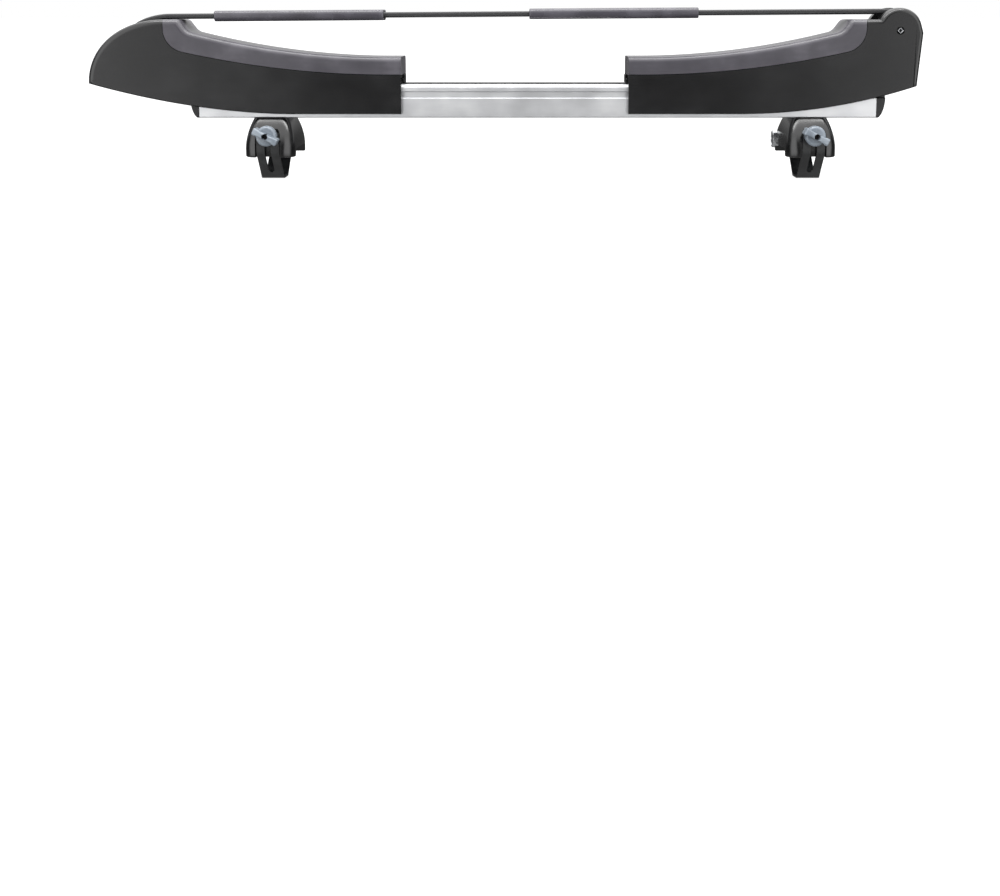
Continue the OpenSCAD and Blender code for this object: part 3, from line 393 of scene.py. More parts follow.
def railSection(cut):
    # corners and radii of the right half, from the bolt slot round to the rack's groove, then mirrored.
    # The caps have neither slot nor groove.
    r, half = rail, rail["depth"] / 2
    inner, draft, upper = half - r["grooveDepth"], r["grooveDraft"], half - r["upperStep"]
    slot, mouth, rack = (r[name] / 2 for name in ("slotWidth", "slotMouth", "rackWidth"))
    top = r["grooveZ"] + r["grooveHeight"]
    corners = [((slot, r["wall"] + r["slotHeight"]), 0.5), ((slot, r["wall"]), 0.3),
               ((mouth, r["wall"]), 0.3), ((mouth, 0), 0.4), ((half, 0), 1.5), ((half, r["grooveZ"]), 0.5),
               ((inner, r["grooveZ"] + draft), 0.3), ((inner, top - draft), 0.3), ((upper, top), 0.5),
               ((upper, r["height"]), r["shoulder"]), ((rack, r["height"]), 0.3),
               ((rack, r["height"] - r["rackDeep"]), 0.2)]
    if not cut:
        corners = corners[4:10]
    mirrored = [((-y, z), radius) for (y, z), radius in reversed(corners)]
    points, radii = zip(*(corners + mirrored))
    return filleted(points, radii, 8) + (0, railZ)


railEnd = rail["length"] / 2
makePiece("railExtrusion", prism(railSection(True), -railEnd, railEnd, lengthwise), [], railAluminium,
          "chassis", "rail", 40)

for side, k in (("left", -1), ("right", 1)):
    # a cap's lower side is a quarter of an ellipse, cut off at capLean
    angle = np.radians(np.linspace(rail["capLean"], 0, 25))
    low = rail["capShare"] * rail["height"] * (1 - np.sin(angle) / np.sin(angle[0]))
    curve = joined(railEnd + rail["capLength"] * np.cos(angle), railZ + low)
    outline = np.vstack(([(railEnd, railZ - 1), (curve[0, 0], railZ - 1)], curve,
                         [(curve[-1, 0], railZ + 40), (railEnd, railZ + 40)])) * (k, 1)
    shell = prism(railSection(False), k * railEnd, k * (railEnd + rail["capLength"]), lengthwise)
    steps = [("INTERSECT", [prism(outline, -40, 40, crosswise)])]
    makePiece(side + "EndCap", shell, steps, housingPlastic, "chassis", side + "_rail_cap")
print("rail made")


# ---- arms: side outlines as (distance from the inner end, height above the rail's underside)

arm = {"depth": 72, "wall": 3.2, "edge": 6, "leftInner": 150.4, "rightInner": 99.9, "bellyZ": 3.9,
       "bellyStart": 119.6, "padLength": 260.5, "seatZ": 47.2, "padThick": 19.6, "bowStart": 14.6,
       "seatBow": 0.00049, "topBow": 0.000576, "stopZ": 107.7, "stopWidth": 16.6, "stopSlope": 53,
       "stopFoot": 14, "stopTop": 6.8, "padCorner": 26, "footBack": 38.5, "noseLength": 84, "noseTipZ": 37.7,
       "nosePower": 2.06, "noseBelly": 1.87, "tailLength": 57.5, "tailTipZ": 34.8, "tailBelly": 2.1,
       "tailStep": 2.6, "tailLean": 15, "earU": 36.5, "earZ": 95.6, "earRadius": 24.75, "earThick": 16,
       "lowEdge": 0.3, "tailEdge": 0.75, "seatEdge": 0.12}
halfArm = arm["depth"] / 2
padEnd = arm["padLength"]
earEnd, stopEnd = padEnd + arm["earU"], (padEnd, arm["stopZ"])


def leftArm(u, z, y):
    return joined(-arm["leftInner"] - u, y, railZ + z)


def rightArm(u, z, y):
    return joined(arm["rightInner"] + u, y, railZ + z)


def bowed(height, bow, u):
    # flat up to bowStart, then a parabola
    return height + bow * np.maximum(0, u - arm["bowStart"]) ** 2


def seatHeight(u):
    return bowed(arm["seatZ"], arm["seatBow"], u)


def topHeight(u):
    return bowed(arm["seatZ"] + arm["padThick"], arm["topBow"], u)


def seatLine():
    # a shallow parabola, then an arc that meets it and ends upright at the pad's outer end
    u = padEnd - arm["padCorner"]
    slope = math.atan(2 * arm["seatBow"] * (u - arm["bowStart"]))
    meet = u + arm["padCorner"] * math.sin(slope)
    z = seatHeight(meet) + arm["padCorner"] * math.cos(slope)
    bow = np.linspace(0, meet, 61)
    corner = arc((u, z), arm["padCorner"], math.degrees(slope) - 90, 0, 20)[1:]
    return np.vstack((joined(bow, seatHeight(bow)), corner))


def belly(end, low, power):
    # flat up to bellyStart, then it rises as the distance to the given power
    u = np.linspace(arm["bellyStart"], end, 61)
    share = np.clip((u - arm["bellyStart"]) / (end - arm["bellyStart"]), 0, 1)
    return joined(u, arm["bellyZ"] + (low - arm["bellyZ"]) * share ** power)


def aroundArm(under, front, share):
    # belly, front and seat line as one outline, and each point's share of the rounded edge
    outline = np.vstack(([(0, arm["bellyZ"])], under, front, seatLine()[::-1]))
    counts = (len(under), len(front), len(outline) - len(under) - len(front))
    return outline, np.repeat((arm["lowEdge"], share, 0.0), counts)


def noseOutline():
    # the front is a quarter of a superellipse
    end, power, tip = padEnd + arm["noseLength"], 2 / arm["nosePower"], arm["noseTipZ"]
    angle = np.radians(np.append(0, np.linspace(4.5, 90, 58)))
    front = joined(padEnd + arm["noseLength"] * np.cos(angle) ** power,
                   tip + (arm["stopZ"] - tip) * np.sin(angle) ** power)
    under = belly(end, tip, arm["noseBelly"])
    return aroundArm(under[under[:, 0] < end - 1], front, 1.0)


def tailOutline():
    # the belly up to the tail's lowest point, a straight end up to the ear's tangent, then the ear's circle
    lean = math.radians(arm["tailLean"])
    left = 180 - math.degrees(math.asin((arm["stopZ"] - arm["earZ"]) / arm["earRadius"]))
    ear = arc((earEnd, arm["earZ"]), arm["earRadius"], arm["tailLean"], left, 48)
    under = belly(padEnd + arm["tailLength"], arm["tailTipZ"], arm["tailBelly"])
    drop = arm["earRadius"] * math.sin(lean) + arm["tailStep"]
    corner = ear[0] + drop * np.array([math.tan(lean), -1])
    end = under[-1] + (corner - under[-1]) * np.linspace(0.07, 1, 12)[:, None]
    return aroundArm(under, np.vstack((end, ear, [stopEnd])), arm["tailEdge"])


def padOutline():
    # over the seat line: a bow, a hollow fillet, the stop's slope and its rounded top
    stop, foot = padEnd - arm["stopWidth"], padEnd - arm["footBack"]
    slope = math.tan(math.radians(arm["stopSlope"]))
    bow = 2 * arm["topBow"] * (foot - arm["bowStart"])
    meet = (stop * slope - arm["stopZ"] - foot * bow + topHeight(foot)) / (slope - bow)
    corners = [(foot, topHeight(foot)), (meet, topHeight(foot) + bow * (meet - foot)), (stop, arm["stopZ"]),
               stopEnd]
    turn = filleted(corners, [0, arm["stopFoot"], arm["stopTop"], 0], 12).reshape(4, 13, 2)
    u = np.linspace(0, foot, 61)
    upper = np.vstack((joined(u, topHeight(u)), turn[1], turn[2]))
    seat = seatLine()
    outline = np.vstack((seat, [stopEnd], upper[::-1]))
    return outline, np.repeat((arm["seatEdge"], 1.0, 0.0), (len(seat), len(outline) - len(seat) - 1, 1))


def insetOutline(points, soft, inset):
    # each corner moves inwards along the normals of its two edges, by each edge's share of the inset
    edge = unit(np.roll(points, -1, axis=0) - points)
    normal = np.column_stack((edge[:, 1], -edge[:, 0]))
    before = np.roll(normal, 1, axis=0)
    first, second = (np.roll(soft, 1) * inset)[:, None], (soft * inset)[:, None]
    c = (normal * before).sum(1, keepdims=True)
    smooth = points - (normal + before) * (first + second) / 2 / (1 + c)
    sharp = before * (c * second - first) + normal * (c * first - second)
    sharp = points + sharp / np.maximum(1 - c * c, 1e-6)
    return np.where((c > 0.95) | (np.abs(first - second) < 1e-9), smooth, sharp)


def moulding(outlined, place):
    # the outline carried from front to back, its edges quarter circles. One more ring just inside each flat
    # side keeps its shading flat.
    inset, y = quarter(arm["edge"], 8)
    inset, y = np.append(arm["edge"] + 0.6, inset), np.append(-halfArm, -halfArm + y)
    return capped([place(*insetOutline(*outlined, d).T, t)
                   for d, t in zip(np.append(inset, inset[::-1]), np.append(y, -y[::-1]))])


hollow = {"bays": 4, "rib": 2.4, "rackTop": 37.5, "ledge": 1.5, "roomTop": 2, "deckEnd": 17, "deckTop": 46,
          "deckHalf": 16, "end": 253.6}
armInside = halfArm - arm["wall"]


def latchRoom(place, reach):
    # bays between ribs, one long room under them, room for the lever and, where it reaches, the rail's end
    end, top = hollow["end"], hollow["rackTop"]
    ribs = [k * end / hollow["bays"] for k in range(1, hollow["bays"])]
    bays = []
    for low, high in zip([-1] + [rib + hollow["rib"] for rib in ribs], ribs + [end]):
        u = np.linspace(low, high, 9)
        roof = joined(u, seatHeight(u) - arm["wall"])
        sill = top + hollow["ledge"]
        bays.append(prism(np.vstack((roof, [(high, sill), (low, sill)])), -armInside, armInside, place))
    deckEnd, deckTop, deckHalf = (hollow[name] for name in ("deckEnd", "deckTop", "deckHalf"))
    steps = cuts(bays, plate(place, -1, end, -1, top + hollow["roomTop"], -armInside, armInside),
                 plate(place, -1, deckEnd, top, deckTop, -deckHalf, deckHalf))
    if reach > end:
        steps += cuts(plate(place, end - 1, reach, -1, top, -armInside, armInside))
    return steps


# runner in the rail's groove, lug for the lever's pin: start, end, low, high, inner and outer y
runner = (4, 231.6, 22.7, 28.1, 28.5, armInside + 1)
lug = (29, 39, 38.1, 45, 15.3, 18.9)
pin = {"at": (34, 41), "radius": 2.05}


def runners(place):
    shells = []
    for k in (-1, 1):
        start, end, bottom, top, inner, outer = runner
        corners = filleted([(start, bottom), (end, bottom), (end, top), (start, top)], 0.5, 3)
        shells.append(prism(corners, *sorted((k * inner, k * outer)), place))
        shells.append(plate(place, *lug[:4], *sorted((k * lug[4], k * lug[5]))))
    return [("UNION", shells)] + cuts(rod(place, pin["at"], pin["radius"], -20, 20, 32))


# strap's line as (x, height above the rail's underside)
strap = {"width": 26, "thick": 6, "edge": 2.2, "firstBend": 24, "firstRadius": 80, "secondBend": 62,
         "secondRadius": 26, "drop": 10, "rollerRadius": 17.6, "wrapEnd": -20, "tail": 36, "split": 60,
         "startIn": 4, "overStop": 0.2, "overRoller": 0.3}
halfStrap = strap["thick"] / 2
runLeft = np.array([strap["startIn"] - arm["leftInner"] - padEnd,
                    arm["stopZ"] + halfStrap + strap["overStop"]])
roller = np.array([arm["rightInner"] + earEnd, arm["earZ"]])
wrapRadius = strap["rollerRadius"] + strap["overRoller"] + halfStrap
rise = math.degrees(math.atan2(roller[1] + wrapRadius - runLeft[1], roller[0] - runLeft[0]))


def ray(angle):
    return np.array([math.cos(math.radians(angle)), math.sin(math.radians(angle))])


def strapLine():
    # points and outward normals from the nose to the tail: a drop, two arcs, the run, the wrap and the tail
    up = 90 + rise
    first = runLeft - strap["firstRadius"] * ray(up)
    bend = up + strap["firstBend"]
    second = first + (strap["firstRadius"] - strap["secondRadius"]) * ray(bend)
    bend2, wrapEnd = bend + strap["secondBend"], strap["wrapEnd"]
    inner = arc(second, strap["secondRadius"], bend2, bend, 16)
    outer = arc(first, strap["firstRadius"], bend, up, 14)
    wrap = arc(roller, wrapRadius, up, wrapEnd, 28)
    run = runLeft + (wrap[0] - runLeft) * np.linspace(0, 1, 161)[1:-1, None]
    drop = inner[0] + strap["drop"] * np.linspace(1, 0, 6)[:-1, None] * ray(bend2 + 90)
    tail = wrap[-1] + strap["tail"] * np.linspace(0, 1, 14)[1:, None] * ray(wrapEnd - 90)
    angles = np.radians(np.concatenate((
        np.full(len(drop), bend2), np.linspace(bend2, bend, len(inner)), np.linspace(bend, up, len(outer)),
        np.full(len(run), up), np.linspace(up, wrapEnd, len(wrap)), np.full(len(tail), wrapEnd))))
    return np.vstack((drop, inner, outer, run, wrap, tail)), joined(np.cos(angles), np.sin(angles))


line, lineNormal = strapLine()

# left arm: the nose is open on top for the strap and has the lock's bore in its end
lock = {"x": -arm["leftInner"] - padEnd - arm["noseLength"], "z": 54, "flange": 8.6, "core": 7, "rim": 2.4,
        "up": 14, "topRadius": 4.5, "deep": 11, "proud": 1.4, "gap": 0.3, "bore": 7.05, "boreDeep": 25,
        "key": (1, 3.2)}
lockCentre = (0, railZ + lock["z"])


def eggOutline(gap):
    # two circles, the smaller above, and their common tangents
    low, top = lock["flange"] + lock["rim"] + gap, lock["topRadius"] + gap
    lean = math.degrees(math.asin((low - top) / lock["up"]))
    return np.vstack((arc(lockCentre, low, 180 - lean, 360 + lean, 40),
                      arc(np.add(lockCentre, (0, lock["up"])), top, lean, 180 - lean, 20)))


def strapChannel(clear=1.2, turns=38):
    # the way round the strap's first points, open upwards from where the run begins
    half = halfStrap + clear
    way = np.vstack(([runLeft + (20, 0)], line[:turns][::-1]))
    normal = np.vstack(([(0, 1)], lineNormal[:turns][::-1]))
    over = way[-9:] + normal[-9:] * half
    above = arm["stopZ"] + 10
    outline = np.vstack((way - normal * half, over[::-1], [(over[0, 0], above), (way[0, 0], above)]))
    side = strap["width"] / 2 + clear
    return prism(outline + (0, railZ), -side, side, crosswise)


# pockets under the nose in two rows, the outer one without its middle pocket
pocket = {"gap": 4, "step": 32, "length": 28, "top": 48.7, "fall": 12}
width = (arm["depth"] - 4 * arm["wall"]) / 3
pockets = []
for k, far in ((-1, 0), (0, 0), (1, 0), (-1, 1), (1, 1)):
    low, middle = hollow["end"] + pocket["gap"] + pocket["step"] * far, k * (width + arm["wall"])
    pockets.append(plate(leftArm, low, low + pocket["length"], -1, pocket["top"] - pocket["fall"] * far,
                         middle - width / 2, middle + width / 2))
tongue = plate(crosswise, line[0, 0] - 7, line[0, 0] + 8, railZ + 41, railZ + line[0, 1] + 7, -14, 14)
steps = latchRoom(leftArm, 0) + cuts(
    pockets, strapChannel(), tongue,
    prism(eggOutline(lock["gap"]), lock["x"] - 5, lock["x"] + lock["deep"], lengthwise),
    rod(lengthwise, lockCentre, lock["bore"], lock["x"] - 4, lock["x"] + lock["boreDeep"])) + runners(leftArm)
makePiece("leftArmHousing", moulding(noseOutline(), leftArm), steps, housingPlastic,
          "left_arm", "left_arm_housing")

# right arm: two ears round the roller, with counterbores for the bolt's head and the nut
ear = (earEnd, arm["earZ"])
slotEnd, slotStart, slotTop = padEnd + arm["tailLength"] + 30, padEnd + 8, arm["stopZ"] + 40
slot = np.vstack(([(slotEnd, 44), (slotEnd, slotTop), (slotStart, slotTop), (slotStart, arm["stopZ"] - 2)],
                  arc(ear, strap["rollerRadius"] + 4, 165, 250, 24), [(earEnd - 5, 44)]))
slotHalf = halfArm - arm["earThick"]
headEnd, nutStart = 3 - halfArm, halfArm - 5
bore = [(0, -halfArm - 1), (4.3, -halfArm - 1), (4.3, headEnd), (3.05, headEnd), (3.05, nutStart),
        (6.2, nutStart), (6.2, halfArm + 1), (0, halfArm + 1)]
camPin = rod(rightArm, (earEnd + 17.6, 61), pin["radius"], -27, 27, 32)
steps = latchRoom(rightArm, railEnd + 12 - arm["rightInner"]) + cuts(
    prism(slot, -slotHalf, slotHalf, rightArm), lathe(bore, rightArm, ear, 48), camPin) + runners(rightArm)
makePiece("rightArmHousing", moulding(tailOutline(), rightArm), steps, housingPlastic,
          "right_arm", "right_arm_housing")

for side, place in (("left", leftArm), ("right", rightArm)):
    makePiece(side + "RubberPad", moulding(padOutline(), place), [], padRubber,
              side + "_arm", side + "_pad")
print("arms made")


# ---- nose lock: its bezel follows the nose, a little proud of it

outline = noseOutline()[0]
face = prism(insetOutline(outline, np.ones(len(outline)), -lock["proud"]), -halfArm, halfArm, leftArm)
start, end = lock["x"] - 5, lock["x"] + lock["deep"]
hole = rod(lengthwise, lockCentre, lock["flange"] + lock["gap"], start - 5, end + 5, 64)
bezel = prism(eggOutline(0), start, end - lock["gap"], lengthwise)
makePiece("noseLockBezel", bezel, cuts(hole) + [("INTERSECT", [face])], footPlastic,
          "left_arm", "nose_lock_bezel")

# its cylinder: a flange with a bevelled edge and a shallow dish round the key's slot
face, flange, core, z = lock["x"] - lock["proud"] - 0.4, lock["flange"], lock["core"], lockCentre[1]
profile = [(0, face + 0.5), (5.2, face + 0.5), (5.7, face), (8.1, face), (flange, face + 0.5),
           (flange, face + 2.2), (core, face + 2.2), (core, face + 44), (0, face + 44)]
halfKey, keyUp = lock["key"]
keySlot = plate(crosswise, face - 1, face + 6, z - keyUp, z + keyUp, -halfKey, halfKey)
makePiece("noseLockBarrel", lathe(profile, lengthwise, lockCentre), cuts(keySlot), lockZinc,
          "nose_lock", "nose_lock_cylinder")

# release levers: a plate on the pin, its tooth in the rack and a tab that curls up out of the arm
lever = {"half": 15, "low": 38.3, "thick": 3.4, "tabTop": 46.6, "barrel": 3.2, "gap": 1.5, "out": 1.4,
         "bow": 40, "toothU": 12, "toothLow": 35.6, "toothTop": 39, "toothHalf": 1.55, "toothDeep": 7.5}
for side, place in (("left", leftArm), ("right", rightArm)):
    half, start, top = lever["half"], -lever["gap"] - 0.1, lever["low"] + lever["thick"]
    reach = math.degrees(math.acos(1 - lever["out"] / lever["bow"]))
    tab = arc((lever["out"] + lever["gap"] - lever["bow"], 0), lever["bow"], -reach, reach, 24)
    rows = [place(-tab[:, 0], z, tab[:, 1]) for z in (lever["low"], lever["tabTop"])]
    profile = filleted([(start, lever["low"]), (pin["at"][0], lever["low"]), (pin["at"][0], top),
                        (start, top)], 0.4, 3)
    tooth = plate(place, lever["toothU"] - lever["toothHalf"], lever["toothU"] + lever["toothHalf"],
                  lever["toothLow"], lever["toothTop"], -lever["toothDeep"], lever["toothDeep"])
    barrel = rod(place, pin["at"], lever["barrel"], -half, half, 40)
    steps = [("UNION", [shell]) for shell in (capped(rows), tooth, barrel)]
    steps += cuts(rod(place, pin["at"], pin["radius"], -half - 1, half + 1, 32))
    makePiece(side + "ReleaseLever", prism(profile, -half, half, place), steps, housingPlastic,
              side + "_release", side + "_release_lever")

# roller's bolt: a shank with a domed head, a bright four-sided drive in it. The head's black is painted shade
# of the counterbore round the drive and of the socket in its middle
shank = [(0, -35.9), (2.6, -35.7), (3.6, -35.1), (3.9, -34.2), (3.9, -33.1), (2.95, -33.1), (2.95, 34.8),
         (0, 34.8)]
drive = [(1.5, -35.2), (2.5, -36.2), (3.2, -36.2), (3.4, -35.2), (1.5, -35.2)]
makePiece("rollerBoltShank", lathe(shank, rightArm, ear, 48), [], blackSteelAndPaintedShade,
          "right_arm", "roller_bolt")
makePiece("rollerBoltDrive", lathe(drive, rightArm, ear, 4), [], platedSteel,
          "right_arm", "roller_bolt")

# roller: a spool on the bolt, a little hollow between its rims
spool = {"hole": 4.05, "radius": 16.9, "flare": 0.7, "half": 18, "rim": 18.5, "end": 19.2}
turn = np.linspace(-1, 1, 17)
hole, radius, flare, half, rim, end = spool.values()
profile = np.vstack(([(hole, -end), (radius - flare, -end), (radius, -rim)],
                     joined(radius + flare * (1 - np.abs(turn) ** 6), half * turn),
                     [(radius, rim), (radius - flare, end), (hole, end), (hole, -end)]))
makePiece("strapSpool", lathe(profile, rightArm, ear, 96), [], rollerNylon,
          "roller", "strap_roller")
print("locks and levers made")


# ---- strap: two lengths of webbing

def distances(points):
    # each point's distance along the line from its first
    return np.append(0, np.cumsum(np.linalg.norm(np.diff(points, axis=0), axis=1)))


def webbingLength(name, chosen):
    # a rectangle with round corners carried along the line: across it is y, through it the line's normal.
    # The weave's map holds the length along it and the way round it, in metres.
    section = softRect(strap["width"], strap["thick"], strap["edge"], 5)
    section = np.vstack((section, section[:1]))
    points, normal = line[chosen] + (0, railZ), lineNormal[chosen]
    middle = points[:, None] + normal[:, None] * section[None, :, 1:]
    grid = joined(middle[..., 0], section[:, 0], middle[..., 1])
    rows, columns = grid.shape[:2]
    faces = gridFaces(rows, columns)
    ends = [list(range(columns - 1))[::-1], list(range((rows - 1) * columns, rows * columns - 1))]
    mesh = bpy.data.meshes.new(name)
    mesh.from_pydata((grid.reshape(-1, 3) * mm).tolist(), [], faces.tolist() + ends)
    flat = joined(distances(line)[chosen][:, None], distances(section)).reshape(-1, 2) * mm
    corners = np.concatenate([faces.reshape(-1)] + ends)
    mesh.uv_layers.new(name="weave").data.foreach_set("uv", flat[corners].astype(np.float32).reshape(-1))
    tidyMesh(mesh)
    finish(mesh, webbing, 50)
    return addObject(name, mesh)


splitRow = int(np.argmax(line[:, 0] > strap["split"]))
for name, chosen, body, near, far in (("leftStrap", slice(0, splitRow + 1), "left_arm", -0.10, -0.40),
                                      ("rightStrap", slice(splitRow, len(line)), "right_arm", 0.10, 0.37)):
    piece = webbingLength(name, chosen)
    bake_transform(piece)
    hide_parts("strap")


# ---- sleeves: rubber tubes that slide on the strap

sleeves = {"width": 36, "thick": 11.8, "corner": 5.4, "gap": 0.3, "lip": 1.2, "holeCorner": 1.6,
           "left": (-357.6, 187), "right": (-9.2, 187)}
for side in ("left", "right"):
    start, length = sleeves[side]
    inset, at = quarter(sleeves["lip"], 6)
    rings = [softRect(sleeves["width"] - 2 * d, sleeves["thick"] - 2 * d, sleeves["corner"] - d, 8)
             for d in np.append(inset, inset[::-1])]
    hole = softRect(strap["width"] + 2 * sleeves["gap"], strap["thick"] + 2 * sleeves["gap"],
                    sleeves["holeCorner"], 8)
    sections = np.stack(rings + [hole, hole])
    stations = np.concatenate((at, length - at[::-1], [length, 0]))[:, None]
    tilt = ray(rise)
    middle = railZ + runLeft[1] + (start - runLeft[0]) * math.tan(math.radians(rise))
    x = start + stations * tilt[0] - sections[..., 1] * tilt[1]
    z = middle + stations * tilt[1] + sections[..., 1] * tilt[0]
    makePiece(side + "Sleeve", capped(joined(x, sections[..., 0], z), False, True), [], sleeveRubber,
              side + "_sleeve_body", side + "_sleeve")
print("strap made")


# ---- feet: a saddle that flares from the rail to the load bar

foot = {"middle": 3.1, "span": 596.3, "width": 55, "topWidth": 38, "depth": 100, "topDepth": 66, "height": 36,
        "lip": 6.5, "topCorner": 8, "corner": 14, "seat": 2.5, "seatHalf": 31, "seatDraft": 2, "lipY": 36,
        "recess": 27, "recessDeep": 8, "recessTop": 19.5, "recessSlant": 4.2, "boltZ": 18.5, "rearY": 31,
        "rearUp": 12, "seatLength": 60, "seatWidth": 44.6}
band = {"middle": 3.3, "span": 595, "out": 2.7, "width": 25, "thick": 2.6, "slot": 6.9, "slotUp": 6,
        "drop": 32.8, "forkTop": 13.5, "forkLow": 9, "flat": 12, "eye": 5.4, "pin": 3.05}
# foot's lock: radius, start and end of its bores; where face, flange, core and all end; half its key slot
footLock = {"bores": ((6.1, 15.8, 29), (10.2, 23.5, 40)), "levels": (30.3, 23.7, 17.5, 16.4), "key": (1, 2.7)}
low, rest = -foot["height"] - foot["lip"], -foot["height"]
hinge, boltAt = (40, -29), (band["out"], -foot["boltZ"])


def flare(narrow, wide, t):
    # a parabola from the narrow top, straight down at the full size where it meets the load bar
    return wide - (wide - narrow) * (1 - np.minimum(t / foot["height"], 1)) ** 2


def footPlace(side, shape):
    # (x away from the object's middle, z below the rail, y) about a foot's or a band's own middle
    k = -1 if side == "left" else 1
    centre = shape["middle"] + k * shape["span"] / 2
    return lambda x, z, y: joined(centre + k * x, y, railZ + z)


def turned(place):
    return lambda y, z, x: place(x, z, y)


def footBody(place):
    # every level is a rectangle with round corners, its sides from the two flares
    depths = np.append(np.linspace(0, foot["height"], 33), [-low - 1.5, -low - 0.45, -low])
    shrink = np.append(np.zeros(34), [0.45, 1.5])
    rows = []
    for t, d in zip(depths, shrink):
        half = flare(foot["topWidth"] / 2, foot["width"] / 2, t) - d
        deep = flare(foot["topDepth"] / 2, foot["depth"] / 2, t) - d
        radius = foot["topCorner"] + (foot["corner"] - foot["topCorner"]) * min(1, t / foot["height"]) - d
        ring = softRect(2 * half, 2 * deep, radius, 10)
        rows.append(place(ring[:, 0], -t, ring[:, 1]))
    return capped(rows)


def footCuts(place, carrier, k):
    # carrier: the band's place, for all that meets band and bolt. k: 1 or -1, which way the lock's side lies
    seatHalf, lipY, seatTop = foot["seatHalf"], foot["lipY"], foot["seat"] + rest
    saddle = [(-lipY, low - 1), (-lipY, low), (-seatHalf - foot["seatDraft"], rest), (-seatHalf, seatTop)]
    saddle += [(-y, z) for y, z in saddle[::-1]]
    out, half, front = band["out"], foot["recess"] / 2, -foot["depth"] / 2
    floorY = front + foot["recessDeep"]
    window = np.vstack(([(out - half, rest), (out + half, rest)],
                        arc((out, -foot["recessTop"]), half, 0, 180, 32)))
    slant = [(front - 1, rest), (floorY, rest), (floorY + foot["recessSlant"], low),
             (floorY + foot["recessSlant"], low - 1), (front - 1, low - 1)]
    bores = [rod(turned(carrier), hinge, radius, *sorted((k * near, k * far)))
             for radius, near, far in footLock["bores"]]
    return cuts(prism(saddle, -60, 60, turned(place)), prism(window, front - 1, floorY, carrier),
                prism(slant, out - half, out + half, turned(carrier)),
                plate(carrier, out - half, out + half, low - 1, hinge[1] + foot["rearUp"], foot["rearY"], 60),
                rod(carrier, boltAt, band["pin"], front - 1, -9, 32), *bores,
                rod(turned(carrier), hinge, band["pin"], -21.3, 21.3, 32))


def seatPad(place):
    # a plate with round corners whose underside has ribs across the load bar
    plan = softRect(foot["seatWidth"], foot["seatLength"], 4, 6)
    grooves = [prism([(y, rest - 1), (y + 2, rest - 1), (y + 1.6, rest + 0.8), (y + 0.4, rest + 0.8)],
                     -foot["seatWidth"], foot["seatWidth"], turned(place)) for y in np.arange(-27, 26, 4)]
    return capped([place(plan[:, 0], z, plan[:, 1]) for z in (rest, foot["seat"] + rest)]), grooves


for side, k in (("left", 1), ("right", -1)):
    place, carrier = footPlace(side, foot), footPlace(side, band)
    makePiece(side + "ClampFoot", footBody(place), footCuts(place, carrier, k), footPlastic,
              "chassis", side + "_foot")
    # the pin's lock, on the foot's left side: a thick disc with a bevelled rim and a key's slot
    face, flange, core, end = footLock["levels"]
    profile = np.array([(0, face - 0.6), (7.2, face - 0.6), (7.7, face), (9.2, face), (10, face - 0.8),
                        (10, flange), (6, flange), (6, core), (3.2, core), (3.2, end), (0, end)]) * (1, k)
    halfKey, keyUp = footLock["key"]
    keySlot = plate(turned(carrier), hinge[0] - halfKey, hinge[0] + halfKey, hinge[1] - keyUp,
                    hinge[1] + keyUp, *sorted((k * 25, k * 32)))
    makePiece(side + "FootLockBarrel", lathe(profile, turned(carrier), hinge), cuts(keySlot), lockZinc,
              side + "_lock", side + "_foot_lock")
    pad, grooves = seatPad(place)
    makePiece(side + "SeatPad", pad, cuts(grooves), seatRubber, "chassis", side + "_seat_pad")


# ---- clamp bands: forks that swing on the pin at the back

def bandLine():
    # the fork on an arc about the hinge, a slope, a flat part and a slope up to the eye
    bottom = rest - band["drop"] + band["thick"] / 2
    radius = hinge[0] + foot["depth"] / 2 - 4
    up, down = (math.degrees(math.asin(band[name] / radius)) for name in ("forkTop", "forkLow"))
    fork = arc(hinge, radius, 180 - up, 180 + down, 12)
    corners = np.array([fork[-1], (-band["flat"] - 2, bottom), (band["flat"] + 2, bottom),
                        (hinge[0] + 1, hinge[1] - 17), (hinge[0], hinge[1] - 4)])
    bends = filleted(corners, [0, 7, 7, 9, 0], 8).reshape(5, 9, 2)[1:4].reshape(-1, 2)
    return np.vstack((fork, bends, corners[-1:])), bottom


for side in ("left", "right"):
    place = footPlace(side, band)
    points, bottom = bandLine()
    along = unit(np.vstack((points[1:2] - points[:1], points[2:] - points[:-2], points[-1:] - points[-2:-1])))
    offset = joined(-along[:, 1], along[:, 0]) * band["thick"] / 2
    ribbon = np.vstack((points + offset, (points - offset)[::-1]))
    out, half, slotHalf = band["out"], band["width"] / 2, band["slot"] / 2
    notch = np.vstack(([(out + slotHalf, 20), (out - slotHalf, 20)],
                       arc((out, bottom + band["slotUp"] + slotHalf), slotHalf, 180, 360, 12)))
    eye = rod(turned(place), hinge, band["eye"], out - half, out + half, 48)
    bore = rod(turned(place), hinge, band["pin"], out - half - 1, out + half + 1, 40)
    makePiece(side + "ClampBand", prism(ribbon, out - half, out + half, turned(place)),
              [("UNION", [eye])] + cuts(prism(notch, -60, -15, place), bore), bandCoat,
              side + "_band", side + "_clamp_band")
print("feet made")


# ---- wing knobs

knob = {"radius": 11.2, "length": 11, "back": -47.7, "front": 3, "wing": 29, "wingWidth": 6.6, "wingEnd": 8.6,
        "wingHeight": 9.5, "wingRoot": 6, "wingEdge": 2.2, "turn": 27, "hole": 3.4, "holeDeep": 10.5}
knobFront = knob["back"] - knob["length"]


def knobHub(place):
    # turned profile with a round front edge
    r, l, edge = knob["radius"], knob["length"], knob["front"]
    profile = np.vstack(([(0, 0), (r - 1, 0), (r, 1.2)], arc((r - edge, l - edge), edge, 0, 90, 8), [(0, l)]))
    return lathe(joined(profile[:, 0], knob["back"] - profile[:, 1]), place, boltAt)


